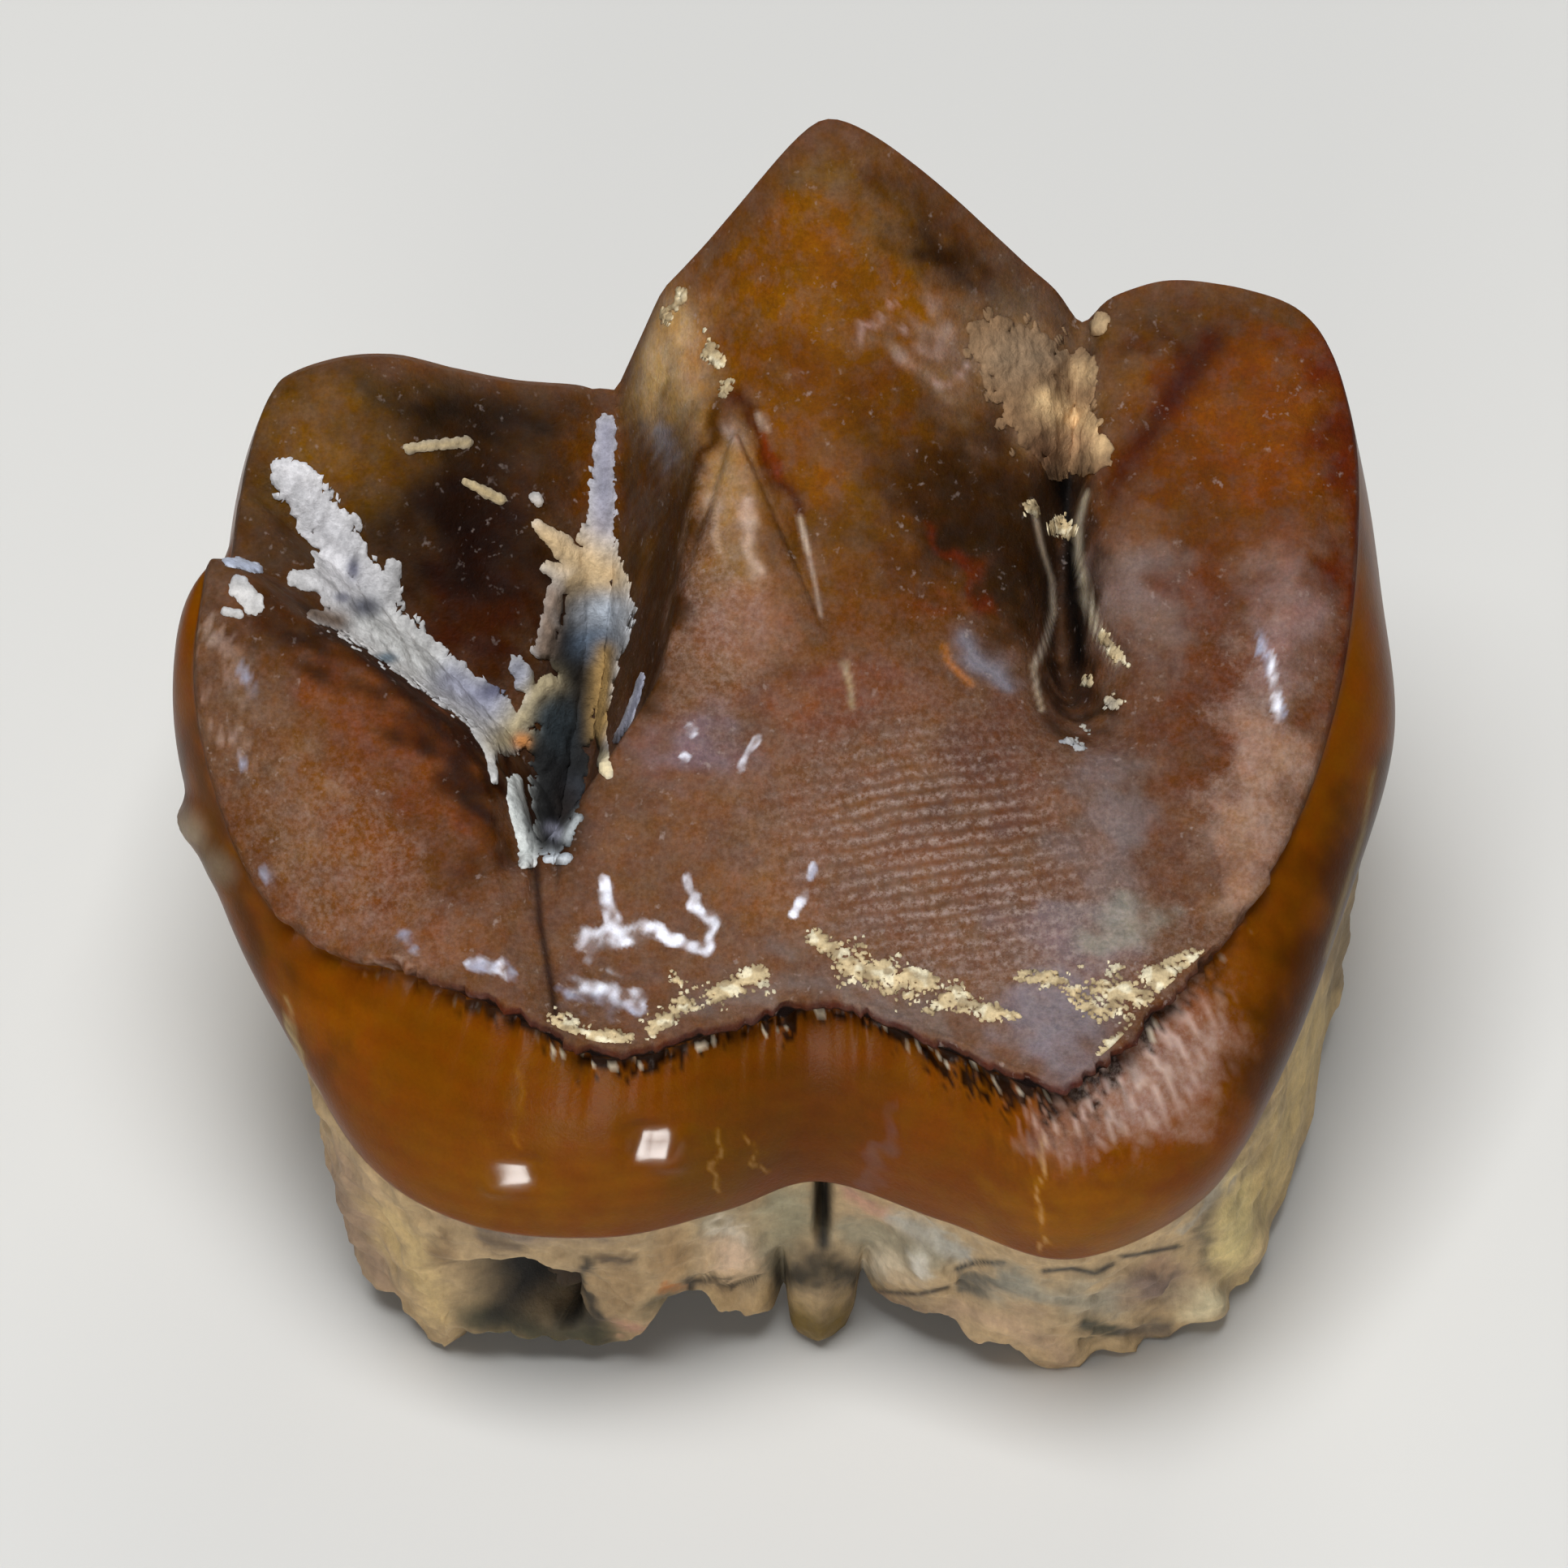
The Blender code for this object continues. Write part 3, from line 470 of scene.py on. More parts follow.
# The stain, laid on in patches whose edges wander: brown on the worn top, amber down the sides
BLOT_DRIFT = .17                 # how far the edges of the patches wander, in mm
MILD_DRIFT = .06
drift = wander(crown_points, (1.1, 7), (1.1, 9)) + .5 * wander(crown_points, (.45, 8), (.45, 10))
blot = where + BLOT_DRIFT * drift
mild = where + MILD_DRIFT * drift
turn = np.tile((stations / STATIONS + .5) % 1, len(crown))
at_lip = step(turn, .33, .40) * (1 - step(turn, .60, .66))
down_side = np.clip((9.4 - crown_points[:, 2]) / 4.2, 0, 1)
crumbs = step(waves(crown_points, .25, 61) + .8 * waves(crown_points, .8, 64), .1, 1.3)
patches = [
    ("#6A4834", .7, 1.5, -1.5, 4.5, 2.6),
    ("#573520", .8, 6.2, -.3, 1.6, 3),
    ("#68442A", .7, -1.6, -.2, 1, 2.2, -15),
    ("#6E4420", .5, -.2, -1.8, .9, .8),
    ("#4E2C1E", .7, 3.4, .4, .8, 1.2),
    ("#6A3C2C", .6, .9, 1.5, 1.3, .7),
    # left lobe, with its dark orange crest; the dark band where it turns away into the valley is painted
    # shade
    ("#56300F", .9, -7, -.4, 2.4, 3, -50),
    ("#74492E", .8, -6.4, -2.2, 1.7, .8),
    ("#6A3A18", .7, -7.2, -.6, 1.2, 1, -50),
    ("#745236", .6, -7.9, -.3, .6, 1.4, 20),
    ("#5E4028", .8, -9.1, 1.6, .7, 1.6),
    ("#381800", .97, [(-8.4, 2.75), (-7.3, 2.25), (-6.2, 1.55), (-5.4, .6), (-5, -.6)], .62),
    ("#240C00", .95, [(-7.6, 2.5), (-6.3, 1.8), (-5.3, .95), (-4.75, -.2)], .34),
    ("#6A320A", .7, [(-8, 1.9), (-7.3, 1.5), (-6.6, 1), (-5.95, .4), (-5.4, -.5)], .36),
    # block behind it, with a lighter bump; its dark top is partly stain and partly painted shade, and its
    # dark red hollow is painted shade
    ("#34200A", .97, -6.3, 5.3, 3.4, 2.6),
    ("#684620", .95, -7.5, 5.8, 1.5, 1.5, -10),
    ("#4A3014", .8, [(-8.6, 6.8), (-7.4, 7), (-6.2, 6.8)], .25),
    ("#0C0500", .97, -4.4, 6.35, 2.4, .75),
    ("#150501", .98, -4.95, 4, 1.45, 1.9, 20),
    ("#3A1402", .9, -5.1, 2.7, .9, .8),
    ("#5A2E08", .6, -3.2, 5.3, .5, .9),
    # middle cusp; the dark band down its right flank to the slit is painted shade
    ("#6A3F18", .97, .4, 7.6, 3.5, 5),
    ("#724412", .8, .9, 8, 1.7, 2),
    ("#5A3004", .85, 1.2, 6.6, 1.6, .9),
    ("#5C4626", .95, .6, 10.4, 1.3, .8),
    ("#62482A", .7, [(.2, 10.2), (1.3, 9.4), (2, 8.8)], .4),
    ("#160802", .97, [(1.9, 9.7), (2.5, 9.1), (3.3, 8.4), (3.7, 7.6)], .55),
    ("#66564A", .85, [(3.6, 8.5), (4.4, 7.9), (4.9, 7.5)], .36),
    # a pale sandy boss left of the tongue, its colour lightened past the sand's own as painted light where it
    # lies in shadow
    ("#D0AA78", .97, spot(mild, -1.95, 6.9, .62, 1.5, 8)),
    ("#9C7048", .6, -1.5, 7.4, .35, .6),
    # a painted white-blue highlight at the foot of the boss
    ("#B4B4BC", .9, trail(mild, [(-2.08, 5.85), (-1.85, 5.35)], .14)),
    ("#A08C80", .7, -2.2, 4.6, .3, .35),
    ("#705238", .9, 3.6, 6.9, 1.6, 1.3, -30),
    ("#86684E", .9, 4.1, 6.8, 1.2, 1, -20),
    ("#5E4A34", .8, 5.5, 6.6, .55, 1.1),
    ("#2A1604", .97, 2.8, 4.6, 1.35, 1.7, 15),
    ("#221204", .9, 3.7, 3.6, .75, 1.6),
    ("#382410", .8, .9, 4, .9, .5),
    ("#6A2C06", .85, 2.3, 2.95, .6, .22),
    ("#541C06", .8, [(2.75, 3.9), (3.2, 3)], .16),
    ("#A08074", .7, 1.58, 7.67, .14, .12), ("#8E7262", .8, 2.2, 7.25, .35, .4),
    ("#A08478", .7, 2.85, 6.75, .16, .2),
    ("#5A3008", .7, 1.7, 3, 1.3, .8, -20),
    ("#5E3A14", .6, .9, 4.3, .7, 1, -20),
    ("#3A2008", .9, -2.15, 4.2, .75, 2.8, -8),
    # tongue: a pale worn facet between a broad flank in painted shade and a thin red-brown groove
    ("#7C5A38", .95, trail(mild, [(-.84, 5.5), (-.82, 4.6), (-.8, 3.6), (-.7, 2.6)], .5)),
    ("#94704A", .9, trail(mild, [(-.86, 5.3), (-.9, 4.6)], .3)),
    ("#7A5442", .85, spot(mild, -.7, 2.7, .8, .7)),
    ("#AE9076", .7, trail(mild, [(-1.2, 4.8), (-1.15, 4.3), (-1.1, 3.9)], .09)),
    ("#B49884", .8, trail(mild, [(-.55, 4.6), (-.5, 4.1), (-.45, 3.6)], .11)),
    ("#A08A80", .7, trail(mild, [(-1, 5.9), (-.8, 5.7)], .12)),
    ("#3C2002", .97, trail(mild, [(-1.07, 6.1), (-1.42, 5.35), (-1.73, 4.26), (-2.04, 3.49)], .17)),
    ("#3A1E04", .95, trail(mild, [(-2, 3.5), (-2.12, 2.4), (-2.25, 1.5)], .26)),
    ("#5C3C1E", .6, [(-2.45, 4.2), (-2.6, 3)], .2),
    ("#401802", .95, trail(mild, [(-.85, 6.35), (-.4, 5.9), (-.04, 4.97), (.25, 4.4)], .15)),
    ("#682602", .8, trail(mild, [(-.3, 5.8), (-.04, 5.1)], .08)),
    ("#B09C8A", .8, trail(where, [(.26, 4.36), (.39, 3.8)], .045)),
    ("#A08A7A", .6, trail(where, [(.39, 3.8), (.52, 3.23), (.6, 2.77)], .04)),
    ("#B09C8A", .6, trail(where, [(-.4, 6.05), (-.3, 5.8)], .05)),
    ("#9C8868", .7, trail(where, [(.98, 2), (1.08, 1.6), (1.1, 1.3)], .05)),
    # right lobe: orange face, dark streak, pink ridge, dark red edge
    ("#5C2A00", .98, 7.2, 6, 2, 2.4),
    ("#703800", .8, 7.7, 5.7, .9, 1.2),
    ("#463016", .85, 6.9, 8.05, 2.7, .6),
    ("#30180A", .85, 5.9, 7.3, .8, .4),
    ("#3C1404", .95, trail(where, [(7, 7.3), (6.5, 6.6), (5.9, 5.7), (5.4, 4.9)], .26)),
    ("#664224", .7, 5.6, 6.9, .5, .9),
    ("#5A3210", .8, 6.2, 4.3, 1.1, .8),
    ("#7E6058", .85, [(8.2, 3.2), (8, 2.3), (7.75, .6), (7.5, -1)], .5),
    ("#8E6A50", .7, [(7.9, .8), (7.5, -.8), (7.3, -1.8)], .5),
    ("#54280A", .85, [(6.9, 3.6), (6.9, 1.6), (6.7, 0)], .5),
    ("#501C06", .95, [(9, 7.2), (9.3, 5.2), (9.5, 3.5), (9.4, 1.2)], .5),
    # grey stain and crumbs along the left lobe's edge
    ("#B09484", .8, crumbs * trail(where, [(-9.15, -2.1), (-8.5, -2.4), (-8.15, -2.9), (-7, -3.2),
                                           (-6.3, -3)], .26)),
    ("#9C8070", .5, crumbs * trail(where, [(-9.3, 2.6), (-9.2, 1.6), (-9, .6)], .45)),
    # lavender haze on the wear facets, partly fine mineral and partly painted sheen, and a painted
    # blue-violet highlight with an orange edge
    ("#74625C", .7, 5.7, 3.2, .9, 1),
    ("#6C605E", .7, 5.3, -.6, .6, 1.3),
    ("#766C70", .9, 4.35, -3.9, .8, .95),
    ("#726E76", .85, trail(mild, [(2.89, 2.33), (3.3, 2), (3.65, 1.69)], .17)),
    ("#9A5A24", .85, trail(where, [(2.6, 2.28), (2.68, 2.02), (2.85, 1.84), (3.05, 1.66)], .055)),
    ("#74666A", .6, 4.6, -2.4, 1, .5),
    ("#706058", .6, [(-1.7, -3.7), (-.4, -3.3), (1.2, -3.4), (2.6, -3.9)], .3),
    ("#7E7C70", .7, 5.6, -2.2, .7, .35),
    ("#6A5C68", .6, -1.3, .6, .8, .6),
    # the slit and the pit; their near-black depths are painted shade
    ("#24160E", .85, [(4.5, 4.9), (4.65, 3.6), (4.8, 1.9), (4.75, 1.2)], .4),
    ("#060403", .98, trail(where, [(4.6, 4.9), (4.67, 4.3), (4.74, 3.2), (4.87, 2.1)], .15)),
    ("#060403", .98, spot(where, 4.62, 5.02, .26, .26)),
    ("#1E120C", .9, trail(where, [(4.95, 7.9), (4.92, 7.1)], .18)),
    ("#C0AC94", .97, trail(where, [(4.08, 4.6), (4.22, 3.95), (4.4, 3.4), (4.42, 2.85), (4.3, 2.4),
                                   (4.08, 1.95)], .045)),
    ("#A8947C", .9, trail(where, [(4.08, 1.95), (4.12, 1.6), (4.2, 1.25)], .04)),
    ("#C4B49A", .97, trail(where, [(4.95, 4.8), (4.84, 4.3), (4.84, 3.8), (4.93, 3.23), (5.1, 2.6),
                                   (5.45, 2.05)], .05)),
    ("#08090C", .98, trail(where, [(-3.25, 3.1), (-3.4, 2.2), (-3.65, .9), (-3.8, .1), (-3.75, -.75)],
                           .55)),
    ("#20100A", .9, trail(where, [(-4.03, -1.26), (-3.95, -2.2), (-3.75, -3.3), (-3.69, -3.7)], .07)),
    # dark red line of the worn edge
    ("#421A12", .8, 1 * (crown_row >= TOP_ROWS + 1) * at_lip),
]
crack = where + .05 * wander(crown_points, (.5, 19), (.6, 20))
at_lumps = bell(crown_points[:, 2] - LUMP_HEIGHT, .7)
side_patches = [
    ("#683600", .95, step(down_side, .35, .95)),
    ("#522A06", .8, 0, -5.2, 1.6, 1.6),
    ("#744200", .85, -4.2, -6.7, 2.4, .8),
    ("#7C4A00", .85, 4.6, -7.1, 1.8, .6),
    ("#5E401A", .6, -1.1, -6.3, 1, .7, 30),
    ("#3C1C02", .9, [(9.3, -1), (8.7, -3), (7.9, -4.6)], .9),
    # a painted shade strip down the right edge, standing in for the root in shadow beyond the enamel
    ("#33260E", .6, trail(mild, [(9.95, .4), (9.72, -.9), (9.4, -1.9), (9.1, -2.9)], .24)),
    ("#452A16", .8, [(-9.6, .5), (-9, -1.8), (-8, -4.2)], .5),
    ("#8C8070", .9, at_lumps * spot(where, -9.75, -.7, .34, .36)),
    ("#6E6252", .8, at_lumps * spot(where, -9.3, -1.35, .4, .35)),
    ("#A0906A", .8, trail(crack, [(-8.16, -3.4), (-7.96, -4.37), (-7.6, -5.2)], .04)),
    ("#8C7A56", .5, step(crown_points[:, 2], 7.6, 8.1) * trail(
        where, [(9.64, .24), (9.47, -.75), (9.23, -1.51), (9.06, -2.05), (8.85, -2.8)], .045)),
    ("#8E7064", .85, 6, -4.7, 1.4, .9, 35),
    ("#7C5C4E", .7, 4.6, -5.2, .8, .7),
    ("#68504A", .6, 1.5, -5.9, .3, .8),
    ("#7A4C30", .7, -7.3, -3.9, 1, .6, -40),
    ("#B4926C", .7, trail(crack, [(4.2, -5.67), (4.13, -6.61), (4.23, -7.55)], .035)),
    ("#A4845C", .5, trail(crack, [(-1.08, -5.54), (-1.1, -6.7)], .03)),
    ("#A4845C", .5, trail(crack, [(-.67, -5.67), (-.5, -6), (-.27, -6.29)], .03)),
    ("#8C6A4A", .45, trail(crack, [(-4.3, -4.6), (-4.35, -5.9)], .05)),
]
stain = painted("#5C3C26", patches, blot, front)
flank_stain = painted("#6A3806", side_patches, blot, front)
# the far side, out of the main view: darker to the rim, honey at the foot, upright streaks and cracks
far = side * step(crown_points[:, 1], .5, 3.5)
streaks = waves(crown_points * [1, 1, .2], .9, 51)
around = np.column_stack([2.1 * np.tile(stations, len(crown)), crown_points[:, 2]])
around = around + .05 * wander(crown_points, (.8, 52), (.8, 53))
above = crown_points[:, 2] - np.tile(crown[TOP_ROWS + LIP_ROWS + SIDE_ROWS - 1][:, 2], len(crown))
flank_stain = painted(flank_stain, [
    ("#7E4A0E", .6, step(streaks, .0, 1.2)),
    ("#4C280A", .6, step(-streaks, .2, 1.3)),
    ("#945E1C", .7, np.exp(-(above / 1.3) ** 2)),
    ("#3E2008", .7, step(above, 4.5, 9)),
    ("#2C1606", .85, [(25.6, 5.9), (25.9, 8), (25.5, 10.5), (25.8, 12.4)], .07),
    ("#2C1606", .7, [(31.5, 6), (31.2, 8.1), (31.6, 9.6)], .07),
    ("#2C1606", .7, [(36.6, 6.4), (36.2, 8.4), (36.5, 10.2)], .07),
], around, far)
stain = np.where(side[:, None] > 0, flank_stain, stain)
# the underside of the overhanging lip is painted black as its shadow
stain = painted(stain, [("#0E0402", 1, at_lip * under_lip)])
# painted shadow hangs below the worn edge in dabs, with painted glints between them
lip_line = np.tile(crown[TOP_ROWS - 1], (len(crown), 1))
below = past(lip_line[:, 2] - LIP_DROP - crown_points[:, 2])
dabs = np.clip(.5 + .5 * waves(lip_line, .7, 17), 0, 1)
reach = .12 + .30 * dabs * (.4 + .6 * spot(where, 3.3, -4.6, 2.6, 1.6))
lip_shadow = step(1.15 - below / reach + .55 * waves(crown_points, .2, 27), .25, .85) * side * at_lip
lip_glints = step(waves(crown_points, .16, 18), 1.1, 1.5) * (below > .02) * (below < .16) * side * at_lip
# a frosted patch below the edge, its mineral drawn out in fine ticks away from the edge
drawn_out = lip_line * [1, 1, 0] + crown_points * [0, 0, .3]
ticks = step(waves(drawn_out, .17, 28), .1, 1.1) * side * spot(where, 5.5, -4.6, 1.7, 1.0, 35)
shadows = step(waves(drawn_out, .2, 29), .3, 1.3) * side * spot(where, 4.9, -5.0, 1.6, .8, 35)
# the wet-looking spots: glossy, and carrying a painted bluish-white glint tint
glossy = np.clip(within(where, GLOSSY_BANDS) + .25 * waves(crown_points, .4, 5), 0, 1)
glossy = step(glossy, .05, .6) * on_top * np.clip(.5 + .35 * waves(crown_points, .3, 6), .1, 1)
# painted on in turn: frost ticks, painted shadow ticks, painted shadow under the edge, painted glints, and
# the painted glint tint of the wet spots
stain = painted(stain, [("#D4BEB2", .6, ticks), ("#3A1C10", .6, shadows), ("#160A04", .95, lip_shadow),
                        ("#C4B8A4", .85, lip_glints), ("#A09EAC", .8, glossy)])
for *flat, _, _ in FLAT_SPOTS:
    glossy = np.maximum(glossy, step(spot(where, *flat), .3, .8) * side * front)
glossy = np.maximum(glossy, .35 * side * step(crown_points[:, 1], 2.5, 5))
ridged = spot(where, 2.4, -.9, 2.6, 2.0, -10) * on_top
# dust lies thinly all over the near part of the top, and thickly on these worn patches
dusty = .16 * step(5 - where[:, 1], 0, 3) + .75 * ridged
for share, *place in ((.6, 4.2, -2.6, 2.6, 1.0), (.4, 7.6, 0, .9, 2.4), (.35, -7.2, -1.2, 2.0, 1.2, -40),
                      (.5, -1.2, 3, .8, 2.4)):
    dusty = dusty + share * spot(blot, *place)
dusty = np.clip(dusty, 0, 1) * on_top * step(stain.sum(axis=1), .06, .16) * step(where[:, 1], 8.8, 4.6)
dusty = dusty + .9 * side * spot(blot, 5.9, -4.6, 1.5, 1.0, 35)

crown_mesh = closed_surface("crown", crown)
for name, values in (("ridged", ridged), ("glossy", glossy), ("dusty", dusty), ("side", side)):
    give(crown_mesh, name, np.append(values, [0, values[-1]]))

# Fossil enamel: hard, glossy and slightly see-through, so light glows in its thick amber parts
enamel, tree = new_material("polished_fossil_enamel")
place = node(tree, "TexCoord", out="Object")
stain_colour = node(tree, "Attribute", attribute_name="stain", out="Color")
is_side, is_ridged, is_glossy, is_dusty = (
    node(tree, "Attribute", attribute_name=name, out="Fac") for name in ("side", "ridged", "glossy", "dusty"))
# smooth random greys, by the size of their features in mm, their detail and their roughness
cloud, grain, fine, hues, depths, dust_grain, crumb_grain, crumb_field = (
    node(tree, "TexNoise", {"Vector": place, "Scale": 1000 / size, "Detail": detail, "Roughness": rough})
    for size, detail, rough in ((.9, 4, .65), (.22, 3, .65), (.07, 2, .7), (.6, 3, .65), (.35, 3, .65),
                                (.11, 3, .75), (.15, 2, .6), (1.1, 2, .65)))
# the top is worn and mottled; the sides are calmer, with faint level rows of growth
rows = node(tree, "TexWave", {
    "Vector": place, "Scale": np.pi / 10 / (ROW_SPACING * MM), "Distortion": 4, "Detail": 2,
    "Detail Scale": .4}, bands_direction="Z", out="Fac")
worn = unevenness(
    tree, (grain, .36, .64, .92, 1.08), (fine, .34, .66, .88, 1.12), (cloud, .36, .64, .85, 1.15))
calm = unevenness(
    tree, (cloud, .36, .64, .93, 1.07), (fine, .34, .66, .95, 1.05), (rows, 0, 1, .97, 1.03))
value = node(tree, "Mix", {"Factor": is_side, "A": worn, "B": calm})
hue = node(tree, "MapRange", [hues, .36, .64, .496, .505])
depth = node(tree, "MapRange", [depths, .36, .64, .92, 1.12])
vivid = node(tree, "Mix", {"Factor": is_side, "A": depth, "B": 1.15})
shade = node(tree, "HueSaturation", {"Color": stain_colour, "Value": value, "Hue": hue, "Saturation": vivid})
# growth lines cross the ramp like a fingerprint, with pale dust in their hollows
turned = node(tree, "Mapping", {"Vector": place, "Rotation": (0, 0, -.17)})
lines = node(tree, "TexWave", {
    "Vector": turned, "Scale": np.pi / 10 / (RIDGE_SPACING * MM), "Distortion": 3.2, "Detail": 2,
    "Detail Scale": .6}, bands_direction="Y", out="Fac")
striped = node(tree, "Mix", {"Factor": is_ridged, "A": .62, "B": lines})
specks = node(tree, "MapRange", [dust_grain, .42, .68, .05, .75])
dust = node(tree, "Math", [is_dusty, striped], operation="MULTIPLY")
dust = node(tree, "Math", [dust, specks], operation="MULTIPLY")
# pale crumbs, too small to be seen one by one, lie in loose fields on the top
crumb = unevenness(
    tree, (crumb_grain, .63, .76, 0, .4), (crumb_field, .44, .58, 0, 1), (is_side, 0, 1, 1, 0))
for share, code in ((dust, "#A8948A"), (crumb, "#A4928A")):
    shade = node(tree, "Mix", {0: share, 6: shade, 7: (*linear(code), 1)}, data_type="RGBA", out=2)
# the surface is pitted, most on the top, and ribbed along the growth lines; the wet spots are even
pitted = node(tree, "Math", [grain, fine], operation="ADD")
pitted = node(tree, "Math", [pitted, node(tree, "MapRange", [is_side, 0, 1, 1, .3])], operation="MULTIPLY")
ribbed = node(tree, "Math", [lines, is_ridged], operation="MULTIPLY")
ribbed = node(tree, "Math", [ribbed, .5], operation="MULTIPLY")
height = node(tree, "Math", [pitted, ribbed], operation="ADD")
even = node(tree, "MapRange", [is_glossy, 0, .6, .6, .04])
bump = node(tree, "Bump", {"Height": height, "Strength": even, "Distance": .03 * MM})
satin = node(tree, "MapRange", [grain, .36, .64, .6, .78])
satin = node(tree, "Mix", {"Factor": is_side, "A": satin, "B": .34})
surface = node(tree, "BsdfPrincipled", {
    "Base Color": shade, "Roughness": satin, "IOR": 1.45, "Specular IOR Level": .09, "Normal": bump,
    "Coat Weight": is_glossy, "Coat Roughness": .18, "Coat IOR": 1.6, "Coat Tint": (.92, .95, 1, 1),
    "Subsurface Weight": .2, "Subsurface Radius": (1, .38, .1), "Subsurface Scale": .4 * MM})
node(tree, "OutputMaterial", {"Surface": surface})

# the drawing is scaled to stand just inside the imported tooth
low, high = (np.array(corner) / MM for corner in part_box("tooth"))
drawn_low = np.append(crown_points[:, :2].min(axis=0), 0)
drawn_high = crown_points.max(axis=0)
fit = (high - low - INSIDE) / (drawn_high - drawn_low)
shift = .5 * (low + high) - .5 * fit * (drawn_low + drawn_high)


def settle(mesh):
    """Moves a mesh from the tooth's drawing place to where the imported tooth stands, just inside it."""
    mesh.transform(Matrix.Translation(Vector(shift * MM)) @ Matrix.Diagonal((*fit, 1)))
    return mesh


piece = as_piece(crown_mesh, with_poles(stain), enamel)
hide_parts("tooth")

# Roots: matt tan dentine below the enamel, broken off short, with a hollow broken into the near
# left root, a knob between two clefts in the middle, and the open pulp hollow underneath
ROOT_ROWS = 84
HOLLOW_ROWS = 30
ROOT_WALL = 1.0
HOLLOW_HEIGHT = 3.5
HOLLOW_STATION = 24.02           # where the hollow is broken into the near left root
NECK_INSET = .14
ROOT_TOP = 4.1                   # where the roots are closed inside the cap
ROOT_SHADE = .66                 # the patches are as bright as the photo; the dentine itself is darker
BROKEN_EDGE = [                  # station and height
    (0, .35), (.15, .15), (.28, .2), (.4, .8), (.5, 1.5), (.68, 1), (.88, 1.15), (1.08, 1.5), (1.26, 1.6),
    (1.46, 1.1), (1.7, .9), (1.9, 1.2), (2.1, .6), (2.3, .05), (2.55, 0), (2.75, .3), (3.05, .05),
    (3.25, .1), (3.5, .6), (3.75, .2), (4.2, .6), (5.2, 1.2), (6.1, 1.7), (7.2, 1), (8, 0), (8.6, 0),
    (9.3, .5), (10.4, 2.3), (11.6, 2.7), (12.4, 2.4), (13.4, 2.8), (14.5, 2.1), (15.7, .3), (16, 0),
    (16.8, 0), (17.6, .8), (19.1, 2.4), (20.2, 2.2), (21.1, 2.4), (22.3, 1.6), (22.6, .95), (22.88, .85),
    (22.97, .4), (23.36, .35), (23.47, 1.2), (23.78, 1.25), (24, 1), (24.4, .9), (24.55, .7), (24.75, .6),
    (24.95, 1.2), (25.1, 1.85), (25.35, 2.5), (25.6, 2.4), (25.78, 1.6), (26, 1.1), (26.2, .7),
    (26.4, .75), (26.5, 1), (26.6, .6), (26.74, .15), (26.86, .15), (27, .35)]
ROOT_LEAN = [                    # station and how far the root leans in for each mm of depth
    (0, .13), (.6, .28), (1.2, .28), (2.3, .37), (3, .22), (4, .06), (4.6, .045), (5.1, .045),
    (5.6, .075), (6.4, .09), (9, .42), (13, .50), (17, .42), (20, .34), (21.5, .38), (22.1, .22),
    (22.7, .15), (23, .19), (23.4, .2), (23.7, .2), (24, .27), (24.6, .26), (26.3, .24), (27, .13)]
ROOT_NECK = [                    # station and how far in the root starts
    (0, .10), (3.2, .10), (4.2, -.14), (5.2, -.2), (6, -.27), (7, -.15), (8.2, .10), (20, .10), (21, .2),
    (22.2, .0), (22.8, -.25), (23.4, -.2), (23.9, .1), (27, .1)]
ROOT_LUMPS = [                   # across, up, width, height and how far each stands out
    (-.88, -7.7, .42, .42, .30), (-.75, -8.55, .6, .2, .25), (2.2, -7.9, .6, .42, .25),
    (7.55, -7.5, .4, .5, .2), (7, -8.6, .35, .3, .3), (4.7, -9.5, .5, .3, .2), (5.6, -9.4, .35, .25, .2),
    (-1.9, -7.9, .3, .45, .2), (-6, -8.1, .45, .8, .15), (3.1, -8.9, .5, .35, .15),
    (5.9, -8.3, .5, .3, .15)]


def near_station(s, station, width):
    """A bell round one station, also where the count starts again."""
    return sum(bell(s - station - turn, width) for turn in (-STATIONS, 0, STATIONS))


